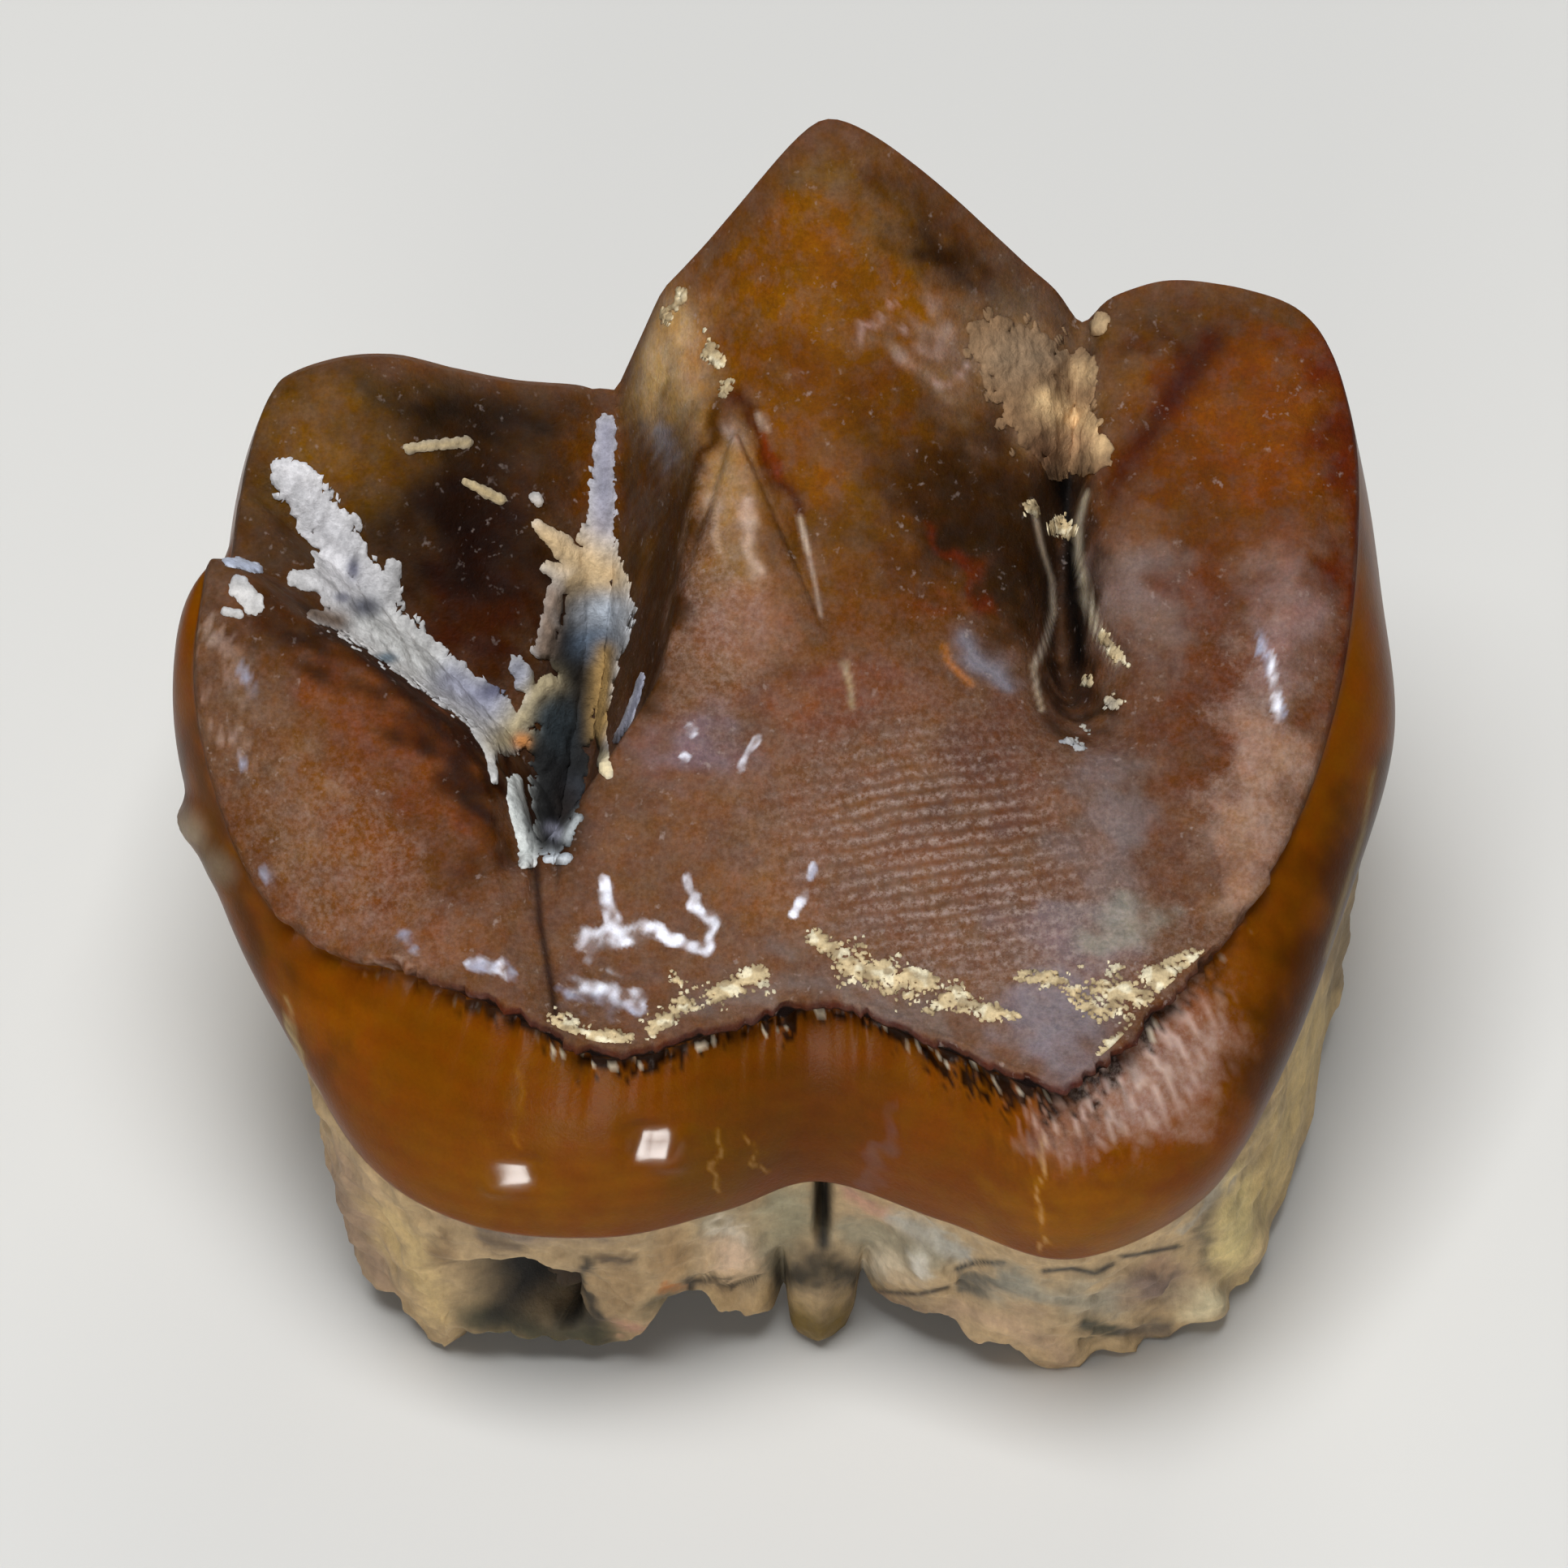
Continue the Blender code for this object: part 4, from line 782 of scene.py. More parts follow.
def root_rings(s):
    """Rings out from under the crown, down the roots to their broken edge and up the hollow inside.

    The roots lean inwards with depth; waves along the stations flute them, waves in space crumble
    them, and bells at stations cut the hollow, the clefts and the slit and swell the knob.
    """
    edge = closed_curve(ENAMEL_EDGE, s)
    outward = outward_of(edge)
    bottom = straight(s, BROKEN_EDGE)
    ragged = .07 * waves(edge[:, :2], .9, 11) + .03 * waves(edge[:, :2], .4, 12) * step(-edge[:, 1], 0, 4)
    bottom = past(bottom + ragged * step(bottom, .0, .6) * (1 - near_station(s, 0, .4)))
    smooth = 1 - .8 * near_station(s, 5.2, 1.8)
    calm = (1 - near_station(s, 0, .7)) * smooth
    flutes = calm * (.14 * np.sin(2 * np.pi * s / 1.35 + .6) + .05 * np.sin(2 * np.pi * s / .6))
    rings = []
    for inward, share in ((3.0, 0), (.9, .6)):
        hidden = edge - outward * inward
        hidden[:, 2] = ROOT_TOP + share * (hidden[:, 2] - ROOT_TOP)
        rings.append(hidden)
    for f in np.linspace(-.02, 1, ROOT_ROWS):
        z = edge[:, 2] * (1 - f) + bottom * f
        depth = past(edge[:, 2] - z)
        neck = 1 - np.exp(-depth / .18)
        inset = NECK_INSET + neck * (straight(s, ROOT_NECK) + flutes * np.clip(depth / 2, 0, 1))
        inset = inset + straight(s, ROOT_LEAN) * depth
        inset = inset + 2.4 * near_station(s, HOLLOW_STATION, .30) * np.exp(-((z - 2.4) / 1.0) ** 4)
        inset = inset + .5 * (near_station(s, .5, .1) + near_station(s, 26.5, .1)) * (1 - step(z, 2.2, 3.2))
        # the black slit above the knob, and the knob's round swelling
        inset = inset + 1.3 * near_station(s, .02, .055) * step(z, 3.1, 3.5)
        inset = inset - .42 * near_station(s, .0, .42) * np.exp(-((z - 1.4) / 1.5) ** 4)
        points = edge - outward * inset[:, None]
        points[:, 2] = z
        inset = inset - swelling(seen(points), ROOT_LUMPS) * neck * (points[:, 1] < 0)
        fine = .03 * waves(points, .6, 14) + .012 * waves(points, .24, 15)
        crumble = .05 * waves(points, 1.5, 13) + fine * (1 - .6 * step(points[:, 1], -5, -2))
        crumble = crumble * (1 - .7 * near_station(s, 0, .5))
        crumble = crumble + step(points[:, 1], -3, 0) * (
            .05 * waves(points * [1, 1, .25], .8, 32) + .015 * waves(points * [1, 1, .3], .3, 33))
        points = edge - outward * (inset + crumble * (.4 + .6 * smooth) * neck)[:, None]
        points[:, 2] = z
        rings.append(points)
    foot = rings[-1]
    for f in np.linspace(0, 1, HOLLOW_ROWS + 1)[1:]:
        plan = foot - outward * (ROOT_WALL * min(1, 4 * f) + 1.6 * f * f)
        rising = foot[:, 2] + (HOLLOW_HEIGHT - foot[:, 2]) * np.sin(.5 * np.pi * past(f - .12) / .88)
        chipped = .08 * waves(plan[:, :2], .5, 16) * np.sin(np.pi * f)
        rings.append(np.column_stack([plan[:, :2], past(rising + chipped)]))
    return rings


root = root_rings(stations)
root_points = np.vstack(root)
root_mesh = closed_surface("roots", root)
where = seen(root_points)
root_station = np.tile(stations, len(root))
# where the hollow lies, to be painted black as its shade
in_hollow = step(near_station(root_station, HOLLOW_STATION, .42), .3, .7)
in_hollow = in_hollow * np.exp(-((root_points[:, 2] - 2.3) / 1.1) ** 6)
blot = where + .07 * wander(root_points, (1.1, 23), (1.1, 24))
blot = blot + .025 * wander(root_points, (.3, 25), (.3, 26))
root_patches = [
    # near left root: a smooth pillar with a bright foot, the hollow beside it painted black as shade, and a
    # black notch of painted shade
    ("#AC907A", .85, [(-7.5, -6.4), (-7.1, -7.4), (-6.75, -8)], .5),
    ("#E4C690", .9, [(-6.5, -7.1), (-6.1, -7.7), (-5.8, -8.6)], .34),
    ("#907250", .85, -5.7, -7.6, .24, .2),
    ("#8C7C72", .8, [(-5.3, -7.15), (-4.2, -7.3), (-3.2, -7.2), (-2.4, -7.1)], .2),
    ("#5C4A40", .7, [(-4.9, -7.5), (-4.4, -7.6)], .14),
    ("#4C482E", .97, [(-5, -8.8), (-4.2, -9), (-3.4, -9.25), (-2.9, -9.35)], .46),
    ("#201E12", .9, [(-3.6, -8.7), (-3.2, -9)], .25),
    ("#080806", .99, in_hollow),
    ("#B49670", .9, -2.7, -8.25, .45, .62),
    ("#5A4634", .8, [(-3.1, -7.75), (-2.5, -7.75)], .14),
    ("#D0A088", .85, -2.5, -8.95, .4, .16),
    ("#1E1A12", .9, [(-3.35, -7.8), (-3.3, -8.4), (-3.05, -8.9)], .14),
    ("#C4A074", .9, -1.85, -7.8, .3, .5),
    ("#C87E48", .85, -1.85, -8.3, .22, .12),
    ("#3E3820", .8, -1.95, -8.6, .35, .25),
    ("#0C0A08", .97, [(-1.5, -8.1), (-1.45, -8.6)], .14),
    # middle: bright lump, tan shelf, olive bay and the knob below the slit; the slit is painted black as
    # shade, and the knob's top is darkened with painted shadow
    ("#B0A488", .8, [(-1.2, -7.1), (-.3, -7.6), (-.1, -8.1)], .3),
    ("#F4D4B6", .95, -.88, -7.68, .42, .42),
    ("#F4E4CC", .9, [(-.7, -7.4), (-1.1, -7.2)], .12),
    ("#33281C", .9, [(-1.4, -8.15), (-.95, -8.25), (-.5, -8.15)], .07),
    ("#CCAC80", .9, [(-1.1, -8.5), (-.3, -8.6)], .2),
    ("#A0987C", .9, .1, -7.1, .45, .7),
    ("#B8AE90", .7, [(-.4, -7), (.2, -6.7)], .18),
    ("#705818", .97, [(.1, -8.9), (.7, -9), (1.2, -8.8)], .4),
    ("#342A16", .97, [(.0, -8.1), (.66, -7.95), (1.35, -8.15)], .34),
    ("#050403", .98, trail(where, [(.66, -6.4), (.66, -7.55)], .14)),
    # right: a white band below the enamel, bright lumps, grey hollows, a dark crack, pillar and knob
    ("#A49C84", .85, [(1.1, -7.3), (1.6, -7.5), (2.6, -7.7)], .3),
    ("#E0AC94", .85, [(1.05, -6.75), (1.7, -7)], .16),
    ("#CCC8BC", .85, [(1.9, -7.15), (2.5, -7.4), (3, -7.65)], .18),
    ("#FCEACC", .97, 1.65, -7.95, .3, .32),
    ("#F4ECDC", .95, 2.28, -7.85, .2, .25),
    ("#D8C0A0", .8, 1.95, -8.2, .35, .16),
    ("#2C241C", .9, trail(where, [(1.55, -8.42), (2.2, -8.42), (2.7, -8.28)], .05)),
    ("#8E7662", .8, 2, -8.75, .8, .25),
    ("#1E1A18", .95, trail(where, [(2.85, -7.95), (3.15, -7.82), (3.6, -7.82)], .05)),
    ("#1E1A18", .95, trail(where, [(4.25, -7.95), (4.7, -7.9), (5.1, -8), (5.4, -7.85)], .05)),
    ("#1E1A18", .95, trail(where, [(5.55, -7.72), (6, -7.68), (6.5, -7.6)], .045)),
    ("#4A4E4A", .85, [(3, -8.15), (3.5, -8.2), (4, -8.25)], .14),
    ("#B8B09C", .85, [(3.8, -8.2), (4.6, -8.45), (5.4, -8.5)], .3),
    ("#D0B090", .85, [(2.9, -8.7), (3.9, -8.95), (4.6, -9.5)], .3),
    ("#86706A", .85, 6.1, -8.3, .6, .45),
    ("#C8A484", .8, 6.2, -7.95, .3, .14),
    ("#32382E", .9, [(5, -8.95), (5.5, -9.1)], .16),
    ("#6E645C", .8, [(5.6, -9.1), (6.4, -9.1)], .14),
    ("#C8AC84", .8, 5.5, -9.6, .4, .2),
    ("#5C5048", .85, [(6.95, -6.5), (6.95, -7.4), (7, -8)], .16),
    ("#FFE8A8", .97, [(7.6, -6.8), (7.5, -7.7)], .42),
    ("#F8E8C0", .95, 7, -8.6, .42, .32),
    ("#E4C68C", .9, [(8.9, -3.8), (8.4, -5.6), (8, -6.8)], .5),
    ("#9C8C70", .7, [(7.8, -5.4), (7.3, -6.2)], .2),
    ("#C4B8A4", .8, [(6.5, -7.3), (7.2, -6.5)], .12),
    # a painted shade strip down the right edge, where the root's side is in shadow
    ("#6A5A3C", .6, [(9.85, -.2), (9.5, -2.2), (9.25, -3.4)], .24),
]
root_stain = painted("#D6B88E", root_patches, blot, step(-root_points[:, 1], -3, -2))
inner = 1.0 * (np.repeat(np.arange(len(root)), COLUMNS) > ROOT_ROWS + 6)
root_stain = ROOT_SHADE * painted(root_stain, [("#4A3A28", .8, inner)])

# Fossil dentine: porous and matt, with grey and pink mineral and dirt in its pores
dentine, tree = new_material("weathered_fossil_dentine")
place = node(tree, "TexCoord", out="Object")
stain_colour = node(tree, "Attribute", attribute_name="stain", out="Color")
upright = node(tree, "Mapping", {"Vector": place, "Scale": (1, 1, .3)})
cloud, fibres, grain = (
    node(tree, "TexNoise", {"Vector": vector, "Scale": 1000 / size, "Detail": detail, "Roughness": rough})
    for vector, size, detail, rough in ((place, .9, 6, .65), (upright, .3, 4, .65), (place, .16, 4, .7)))
pores = node(tree, "TexVoronoi", {"Vector": place, "Scale": 1000 / .35, "Randomness": 1})
value = unevenness(
    tree, (cloud, .38, .62, .84, 1.1), (fibres, .36, .64, .84, 1.1), (grain, .35, .65, .9, 1.08))
shade = node(tree, "HueSaturation", {"Color": stain_colour, "Saturation": 1.08, "Value": value})
swells = node(tree, "Math", [cloud, fibres], operation="ADD")
pits = node(tree, "Math", [grain, node(tree, "MapRange", [pores, 0, .25, -.4, 0])], operation="ADD")
height = node(tree, "Math", [swells, pits], operation="ADD")
bump = node(tree, "Bump", {"Height": height, "Strength": .5, "Distance": .04 * MM})
surface = node(tree, "BsdfPrincipled", {
    "Base Color": shade, "Roughness": .75, "IOR": 1.5, "Normal": bump, "Subsurface Weight": .1,
    "Subsurface Radius": (1, .6, .35), "Subsurface Scale": .5 * MM})
node(tree, "OutputMaterial", {"Surface": surface})
piece = as_piece(root_mesh, with_poles(root_stain), dentine)
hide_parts("tooth")


# Left valley sediment: pale mineral mud that hardened in the crease, the pit and its arm. It sits
# as a thin cracked crust right on the enamel, blue-white in the crease, cream and grey by the pit.
CRUST_STEP = .032
CRUST_ROOT = .03                 # how deep the underside of a crust lies in the enamel
CREASE_BANDS = [                 # across, up and half width, all in mm on the slanted plane
    [(-8.14, 5.1, .34), (-7.7, 4.55, .40), (-7.35, 4.03, .42), (-7.15, 3.45, .5), (-6.95, 2.9, .52),
     (-6.35, 2.4, .44), (-5.6, 1.8, .38), (-5, 1.36, .38), (-4.55, .88, .36)],
    [(-8.05, 3.42, .12), (-7.17, 3.26, .3)], [(-6.44, 3.6, .15), (-6.64, 2.96, .3)],
    [(-7.7, 2.8, .08), (-7.45, 2.72, .12), (-7.2, 2.7, .2)],
    [(-5.05, .9, .05), (-4.8, .55, .07), (-4.7, .08, .05)],
    [(-4.42, .1, .09), (-4.4, -.12, .12), (-4.3, -.6, .12), (-4.22, -.92, .09), (-4.15, -1.18, .17)],
    [(-3.84, -1.2, .07), (-3.52, -1.18, .09)], [(-3.86, -.7, .08), (-3.68, -.76, .06)],
    [(-3.34, -.52, .09), (-3.46, -.66, .07), (-3.5, -.8, .04)],
    [(-2.94, 5.95, .19), (-2.98, 5.22, .22), (-3.01, 4.49, .25), (-3.09, 3.93, .36)],
    [(-4.1, 4.35, .08), (-3.57, 3.86, .22), (-3.06, 3.46, .48), (-2.96, 2.96, .48), (-2.92, 2.5, .38),
     (-2.94, 2.03, .22), (-3.04, 1.38, .15), (-3.04, .86, .09), (-2.96, .56, .07), (-2.97, .42, .13),
     (-2.84, .18, .08)], [(-2.33, 1.78, .06), (-2.42, 1.45, .06), (-2.55, 1.1, .09), (-2.75, .78, .06)],
    [(-3.8, 3.25, .13), (-3.85, 2.8, .16), (-4, 2.25, .17)], [(-3.9, 3.6, .12), (-3.6, 3.4, .2)],
    [(-4.42, 2, .16), (-4.3, 1.75, .18)], [(-3.9, 1.75, .14), (-4.16, 1.35, .17), (-4.4, 1, .2)],
    [(-3.85, 1.3, .36), (-3.72, .8, .25)], [(-9.05, 3.68, .1), (-8.62, 3.55, .08)],
    [(-8.88, 3.25, .16), (-8.64, 2.95, .17)], [(-9.1, 2.85, .07), (-8.85, 2.8, .08)],
    [(-6.2, 5.57, .08), (-5.22, 5.68, .1)], [(-5.25, 5.02, .07), (-4.68, 4.73, .1)],
    [(-4.12, 4.78, .08), (-4.05, 4.7, .08)]]
PIT_BAND = [[(-3.35, 3.2, .25), (-3.45, 2.0, .42), (-3.7, .6, .5), (-3.78, -.75, .36)]]


def crust(name, x_range, y_range, spacing, bands, rise, ragged, grit, seed):
    """A thin crust on the chewing side, with a closed underside just below the enamel's surface.

    Squares of a level grid are kept where ragged noise added to the bands leaves them inside. The
    top rises above them by rise times the square root of how far inside they are.
    """
    x, y = np.meshgrid(np.arange(*x_range, spacing), np.arange(*y_range, spacing))
    ground = chewing_surface(x, y)
    slope_y, slope_x = np.gradient(ground, spacing)
    out = np.stack([-slope_x, -slope_y, np.ones(x.shape)], axis=-1).reshape(-1, 3)
    out = out / np.linalg.norm(out, axis=1)[:, None]
    points = np.stack([x, y, ground], axis=-1).reshape(-1, 3)
    flat = seen(points)
    # the noise lies in the picture's plane where the ground faces it, and in space on steep ground
    facing = step(out @ TO_VIEWER, .05, .4)
    inside = within(flat, bands)
    for share, size, pattern in ((.4, .5, seed), (.4, grit, seed + 1), (.3, .5 * grit, seed + 4)):
        border = waves(points, size, pattern)
        inside = inside + ragged * share * (border + facing * (waves(flat, size, pattern) - border))
    # it thins out towards the rim, so that nothing hangs past the worn edge
    reach = points[:, :2] - CENTRE
    rim_reach = closed_curve(RIM_OUTLINE, stations) - CENTRE
    angle, rim_angle = (np.arctan2(plan[:, 1], plan[:, 0]) for plan in (reach, rim_reach))
    to_rim = np.interp(angle, rim_angle, np.linalg.norm(rim_reach, axis=1), period=2 * np.pi)
    inside = np.minimum(inside, 5 * (to_rim - np.linalg.norm(reach, axis=1)) - .1)
    lumps = 1 + .2 * waves(points, .45, seed + 2) + .1 * waves(points, .15, seed + 3)
    thick = rise * np.sqrt(np.clip(inside, 0, 1)) * np.clip(lumps, .25, 2)
    kept = (inside > 0).reshape(x.shape)
    cell = kept[:-1, :-1] & kept[1:, :-1] & kept[:-1, 1:] & kept[1:, 1:]
    number = np.arange(x.size).reshape(x.shape)
    corners = [number[:-1, :-1], number[:-1, 1:], number[1:, 1:], number[1:, :-1]]
    top = np.stack([corner[cell] for corner in corners], axis=-1)
    ringed = np.pad(cell, 1)
    # points on the border slide out to where inside reaches 0, so that the edge shows no stairs
    squares = 1 * ringed[:-1, :-1] + ringed[:-1, 1:] + ringed[1:, :-1] + ringed[1:, 1:]
    border = ((squares > 0) & (squares < 4)).ravel()
    rate_y, rate_x = np.gradient(inside.reshape(x.shape), spacing)
    rate = np.stack([rate_x, rate_y], axis=-1).reshape(-1, 2)
    slide = -rate * (inside * border / ((rate ** 2).sum(axis=1) + 1e-9))[:, None]
    slide = slide * np.minimum(1, spacing / (np.linalg.norm(slide, axis=1) + 1e-9))[:, None]
    slopes = np.stack([slope_x, slope_y], axis=-1).reshape(-1, 2)
    points = points + np.column_stack([slide, (slide * slopes).sum(axis=1)])
    thick = np.where(border, .3 * rise, thick)
    walls = []
    beyond = [ringed[:-2, 1:-1], ringed[1:-1, 2:], ringed[2:, 1:-1], ringed[1:-1, :-2]]
    for turn, neighbour in enumerate(beyond):
        open_side = cell & ~neighbour
        a = corners[turn][open_side]
        b = corners[(turn + 1) % 4][open_side]
        walls.append(np.stack([a + x.size, b + x.size, b, a], axis=-1))
    faces = np.vstack([top, top[:, ::-1] + x.size, *walls])
    both = np.vstack([points + out * thick[:, None], points - CRUST_ROOT * out])
    used, renumbered = np.unique(faces, return_inverse=True)
    return mesh_from(name, both[used], renumbered.reshape(-1, 4)), both[used]


def mineral(name, roughness, bump_depth, grit):
    """A matt crust: its tint comes from the mesh, broken up by grit this large and deep in mm."""
    material, tree = new_material(name)
    place = node(tree, "TexCoord", out="Object")
    tint = node(tree, "Attribute", attribute_name="stain", out="Color")
    cloud, grain = (
        node(tree, "TexNoise", {"Vector": place, "Scale": 1000 / size, "Detail": detail, "Roughness": rough})
        for size, detail, rough in ((5 * grit, 5, .65), (grit, 4, .7)))
    value = unevenness(tree, (cloud, .35, .65, .7, 1.2), (grain, .3, .7, .85, 1.15))
    shade = node(tree, "HueSaturation", {"Color": tint, "Value": value})
    height = node(tree, "Math", [cloud, grain], operation="ADD")
    bump = node(tree, "Bump", {"Height": height, "Strength": .7, "Distance": bump_depth * MM})
    surface = node(tree, "BsdfPrincipled", {
        "Base Color": shade, "Roughness": roughness, "IOR": 1.5, "Specular IOR Level": .25, "Normal": bump})
    node(tree, "OutputMaterial", {"Surface": surface})
    return material


left_mesh, left_points = crust(
    "left_valley_crust", (-9.3, -2.1), (-3.6, 5.6), CRUST_STEP, CREASE_BANDS + PIT_BAND, .07, .2, .2, 21)
where = seen(left_points)
# the crust in the deep pit is painted near black as its shade
pit_shade = step(within(where, PIT_BAND) + .15 * waves(where, .5, 22), -.75, -.25)
left_stain = painted("#BEBAB6", [
    ("#B4BCD0", .9, [(-9.05, 3.68), (-8.62, 3.55)], .15),
    ("#D4D0D0", .9, [(-8.1, 5.2), (-7.4, 4.1), (-7.1, 3.3)], .6),
    ("#CCCAC4", .8, [(-6.9, 2.8), (-6, 2.1), (-5.7, 1.9)], .3),
    ("#A0A0B0", .9, [(-5.5, 1.75), (-4.9, 1.4)], .3),
    ("#5C5C74", .9, -4.75, 1.62, .35, .18, 20),
    ("#050607", .98, pit_shade),
    ("#C0AE88", .95, [(-3.95, 1.7), (-4.2, 1.3), (-4.6, .75)], .26),
    ("#D08848", .9, -4.35, .74, .16, .16),
    ("#92909E", .95, [(-2.94, 5.9), (-3, 4.3)], .3),
    ("#C2A67C", .97, [(-3.95, 4.1), (-3.4, 3.75), (-2.9, 3.45)], .5),
    ("#A4AAB2", .95, -2.95, 2.85, .5, .4),
    ("#5A6A7C", .9, -3.05, 2.35, .45, .3),
    ("#B08C54", .95, [(-2.96, 2.2), (-3.05, 1.4), (-3.04, .9)], .2),
    ("#E8D4A8", .95, -2.9, .3, .22, .25),
    ("#8C8CA0", .8, [(-2.33, 1.8), (-2.42, 1.4), (-2.75, .7)], .13),
    ("#8E7866", .9, [(-3.85, 3.2), (-4, 2.3)], .2),
    ("#A4A4B0", .9, -4.4, 1.9, .2, .25),
    ("#3E4A50", .85, -3.85, 1.15, .34, .34),
    ("#34383E", .8, -3.5, -.1, .2, .3),
    ("#CCCEC8", .95, [(-4.42, .1), (-4.36, -.6), (-4.22, -1.15)], .2),
    ("#BCC0C4", .95, [(-3.84, -1.2), (-3.52, -1.18)], .13),
    ("#A8A8B8", .9, [(-3.86, -.7), (-3.68, -.76)], .1),
    ("#B4B8B8", .9, [(-3.34, -.52), (-3.5, -.8)], .11),
    ("#2C3438", .8, -3.75, 1, .3, .5),
    ("#1C120C", .8, -3.6, -.3, .25, .4),
    ("#48485C", .85, -7.1, 3.58, .12, .2),
    ("#404250", .85, -6.9, 2.95, .3, .2),
    ("#6A6A78", .8, -7.25, 3.1, .14, .1),
    ("#4E6878", .8, -6.5, 2.1, .16, .1),
    ("#5E4630", .9, [(-8, 2.95), (-7.3, 2.7)], .2),
    ("#A48E64", .9, [(-6.2, 5.57), (-5.22, 5.68)], .2),
    ("#B09868", .9, [(-5.25, 5.02), (-4.68, 4.73)], .2),
], where)
# chalky mineral: dry and matt, so it stays pale from every side and shows a fine grain
chalk = mineral("chalky_mineral_crust", .8, .04, .07)
piece = as_piece(left_mesh, left_stain, chalk)
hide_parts("valley_sediment_left")

# Right valley sediment: the rough tan lump of sandy mud that set at the top of the slit in the
# middle valley. Like the left crust it lies right on the enamel and holds there by itself.
RIGHT_BANDS = [
    [(3.4, 7.25, .45), (4, 6.8, .75), (4.3, 6.2, .7)],
    [(4.3, 5.95, .62), (4.7, 5.65, .58), (4.95, 5.5, .4)], [(5.2, 7.68, .14), (5.16, 7.55, .14)],
    [(4.88, 7, .2), (4.9, 6.4, .25)]]
right_mesh, right_points = crust(
    "right_valley_lump", (2.6, 5.7), (1.9, 5.3), CRUST_STEP, RIGHT_BANDS, .09, .25, .3, 31)
right_stain = painted("#826446", [
    ("#8C745A", .8, 3.9, 7, .8, .5),
    ("#6E5238", .8, 4.35, 6.55, .5, .25),
    ("#DCB886", .95, [(4.3, 6.3), (4.8, 6), (5.15, 5.65)], .24),
    ("#A88460", .9, 4.75, 5.65, .4, .25),
    # painted shade under the lump
    ("#5A3C26", .85, 4.2, 5.45, .35, .35),
    ("#C8A87C", .8, 4.9, 6.8, .25, .25),
    ("#C0A47C", .8, 5.18, 7.6, .2, .2),
], seen(right_points))
# sandy mud: matt with coarser grit, so it looks rough and warm beside the wet-looking enamel
sandy_mud = mineral("sandy_mud_crust", .85, .06, .1)
piece = as_piece(right_mesh, right_stain, sandy_mud)
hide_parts("valley_sediment_right")

# Residue: cream flakes of the same mud left along the worn edge, beside the slit and on the cusp.
# They are films less than 0.1 mm thick that dried onto the enamel.
FLAKE_STEP = .021
FLAKE_BANDS = [
    [(.5, -2.5, .12), (1.26, -2.93, .28), (2.06, -3.2, .26), (2.86, -3.46, .17), (3.73, -3.75, .09)],
    [(-2.1, -3.85, .16), (-1.42, -3.46, .13), (-.4, -3.1, .2)],
    [(-3.83, -3.73, .12), (-3.29, -3.98, .14), (-2.49, -4.07, .1)],
    [(3.85, -3.1, .1), (4.3, -3.15, .13), (4.75, -3.3, .13)],
    [(5.1, -3.4, .3), (5.81, -3.25, .26), (6.88, -2.76, .17)],
    [(5.14, -4.35, .1), (5.61, -3.87, .2), (6, -3.7, .15)], [(7.28, -2.86, .1), (7.65, -2.33, .08)],
    [(-5.85, -3.22, .1), (-5.4, -3.42, .14), (-4.36, -3.67, .06)],
    [(-5.74, -3.72, .07), (-5.66, -3.7, .07)], [(-1.82, -3.1, .1), (-1.76, -3.14, .1)],
    [(-1.69, 7.97, .12), (-1.75, 7.9, .1)], [(-1.95, 7.7, .1), (-1.9, 7.6, .06)],
    [(-1.26, 7.4, .1), (-1.08, 6.9, .12), (-.95, 6.5, .1)], [(4.04, 4.58, .09), (4.16, 4.48, .06)],
    [(5.16, 2.5, .06), (5.35, 2.25, .09), (5.58, 1.98, .08)], [(4.45, 4.25, .13), (4.7, 4.22, .15)],
    [(4.93, 1.7, .08), (5, 1.66, .08)], [(5.32, 1.38, .1), (5.4, 1.3, .1)],
    [(4.88, .98, .07), (4.95, .9, .06)], [(4.6, .72, .08), (4.8, .64, .08)]]
flake_mesh, flake_points = crust(
    "cream_residue", (-7, 8.2), (-6.6, 5.6), FLAKE_STEP, FLAKE_BANDS, .05, .9, .12, 41)
flake_stain = painted("#C2AC84", [
    ("#E4D8B8", .8, step(waves(flake_points, .35, 45), .2, .9)),
    ("#96805E", .8, step(waves(flake_points, .3, 46), .2, .9)),
    ("#A8A8AA", .8, [(-6.2, -3), (-4.3, -3.6)], .3),
    ("#8C94A4", .8, [(4.5, .75), (4.9, .6)], .2),
    ("#B4B0A6", .8, 5.1, 1, .6, .5),
], seen(flake_points))
# dried mud: cream and matt in thin flakes, which stand out against the brown enamel
dried_mud = mineral("dried_mud_flakes", .8, .03, .06)
as_piece(flake_mesh, flake_stain, dried_mud)

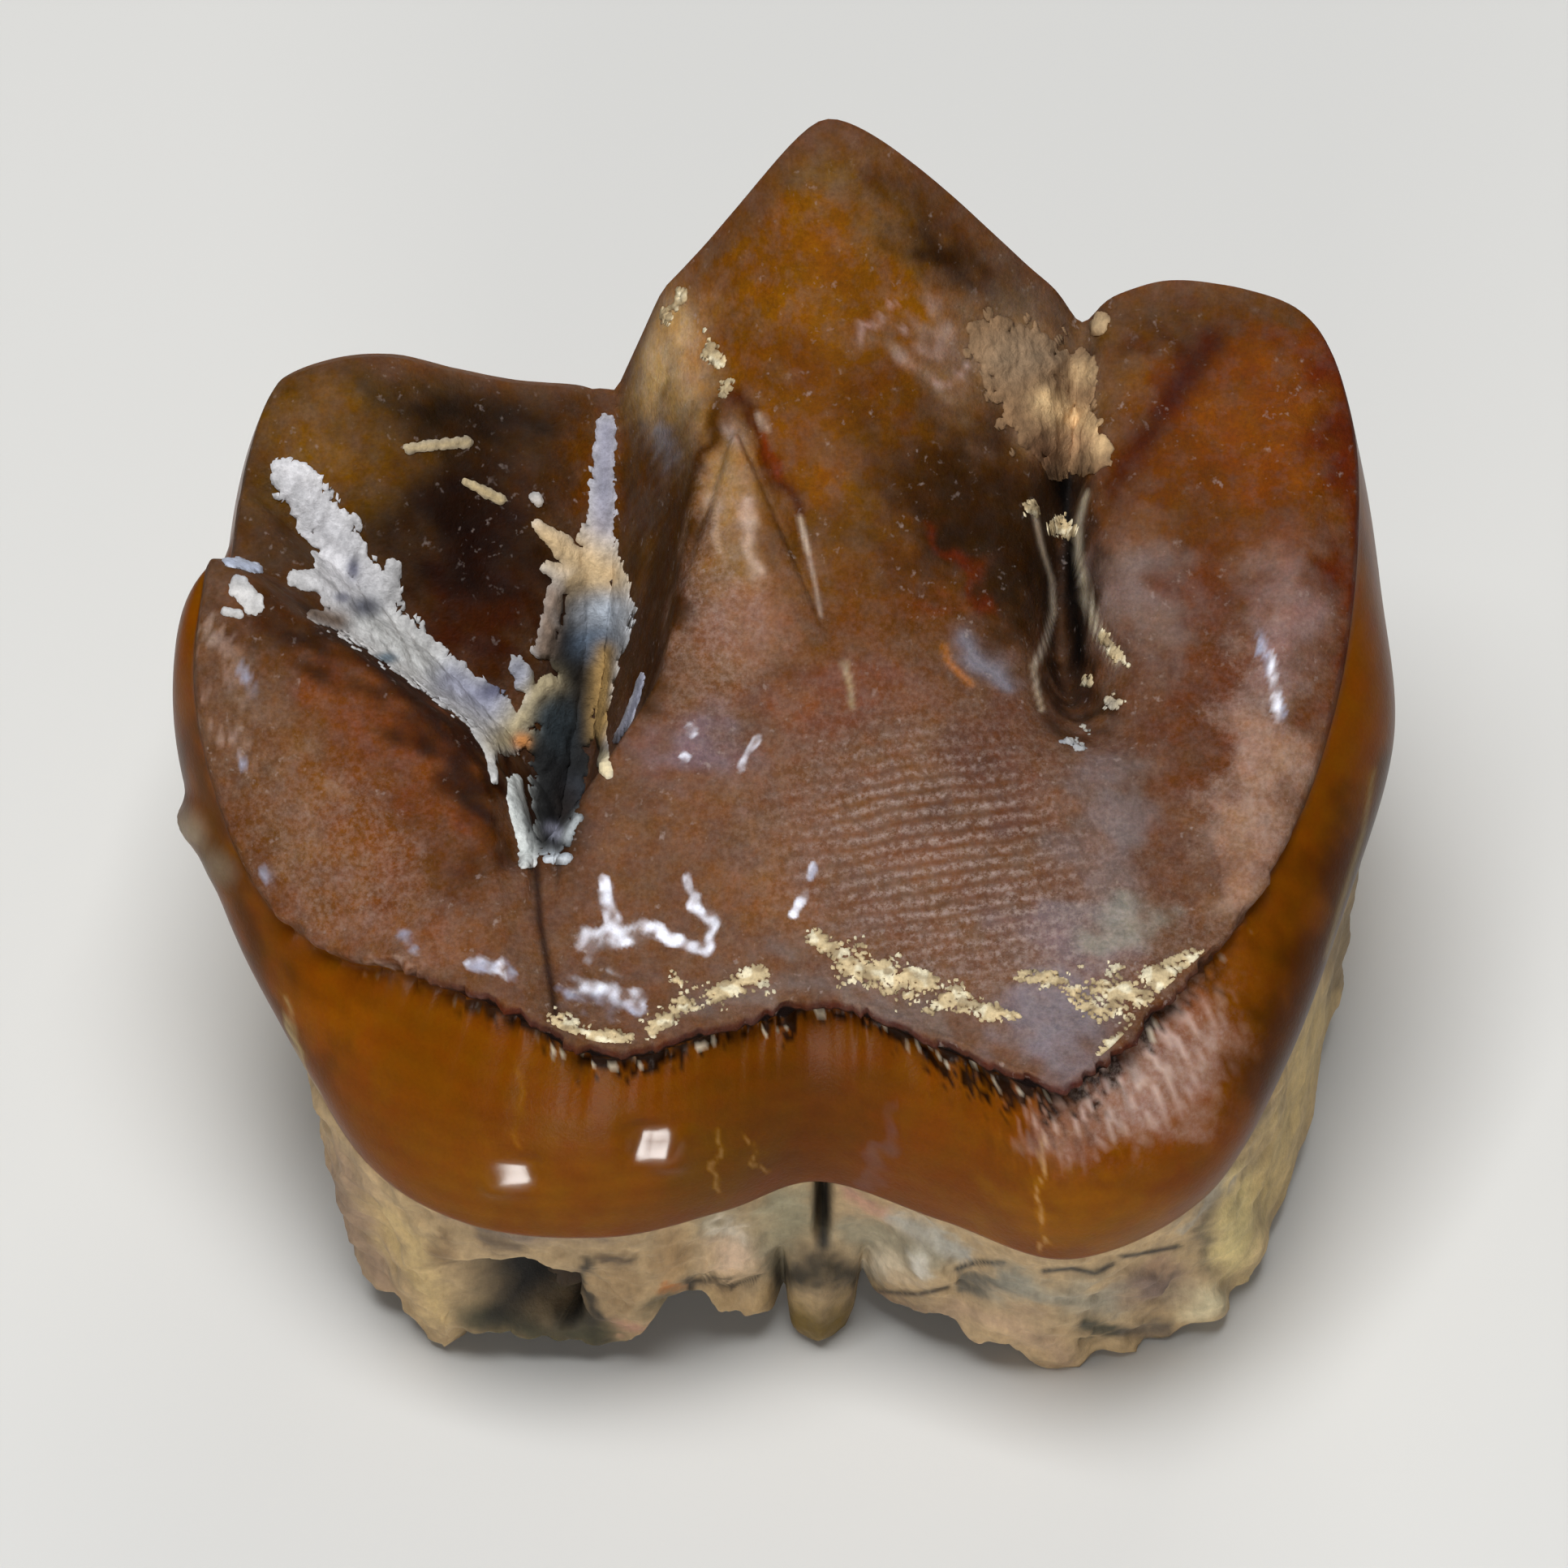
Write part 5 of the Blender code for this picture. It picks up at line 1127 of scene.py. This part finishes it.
# Stage: a pale table under soft studio light, seen from 50 degrees above the near side. Two low
# lamps, one in front and one behind, give the small highlights and light the roots.
TABLE_REACH = 400.0
corners = TABLE_REACH * np.array([(-1, -1, 0), (1, -1, 0), (1, 1, 0), (-1, 1, 0)])
table_mesh = mesh_from("table", corners, np.array([[0, 1, 2, 3]]))
# painted board: even and matt, so the shadow lies soft on it
table, tree = new_material("pale_table")
surface = node(tree, "BsdfPrincipled", {"Base Color": (*linear("#D2CFC9"), 1), "Roughness": .7})
node(tree, "OutputMaterial", {"Surface": surface})
table_mesh.materials.append(table)
floor = bpy.data.objects.new("table", table_mesh)
bpy.context.scene.collection.objects.link(floor)

world = bpy.data.worlds.new("studio")
world.use_nodes = True
world.node_tree.nodes["Background"].inputs["Color"].default_value = (.9, .93, 1, 1)
world.node_tree.nodes["Background"].inputs["Strength"].default_value = .09
bpy.context.scene.world = world

LIT_POINT = Vector((0, 0, 9))


def soft_light(name, place, size, power, colour):
    """A square soft box aimed at the tooth, its place in mm."""
    light = bpy.data.lights.new(name, "AREA")
    light.size = size * MM
    light.energy = power
    light.color = colour
    lamp = bpy.data.objects.new(name, light)
    bpy.context.scene.collection.objects.link(lamp)
    lamp.location = Vector(place) * MM
    lamp.rotation_euler = (Vector(place) - LIT_POINT).to_track_quat("Z", "Y").to_euler()


soft_light("overhead_soft_box", (-16, -45, 235), 110, .62, (.92, .955, 1))
soft_light("low_front_lamp", (-40, -330, 66), 96, .46, (1, .98, .95))
soft_light("low_rear_lamp", (70, 300, 110), 140, .3, (1, .98, .95))

VIEW_ELEVATION = np.radians(50)
AIM_HEIGHT = 8
FOCAL = 300
SENSOR = 36
FRAME_WIDTH = 1932 / 74.75       # millimetres of the tooth across the picture
camera = bpy.data.cameras.new("camera")
camera.lens = FOCAL
camera.sensor_width = SENSOR
camera.clip_start = .01
eye = bpy.data.objects.new("camera", camera)
bpy.context.scene.collection.objects.link(eye)
aim = [0, 0, AIM_HEIGHT] + shift
away = np.array([0, -np.cos(VIEW_ELEVATION), np.sin(VIEW_ELEVATION)])
eye.location = (aim + away * FRAME_WIDTH * FOCAL / SENSOR) * MM
eye.rotation_euler = Vector(away).to_track_quat("Z", "Y").to_euler()
bpy.context.scene.camera = eye
bpy.context.scene.view_settings.view_transform = "Standard"
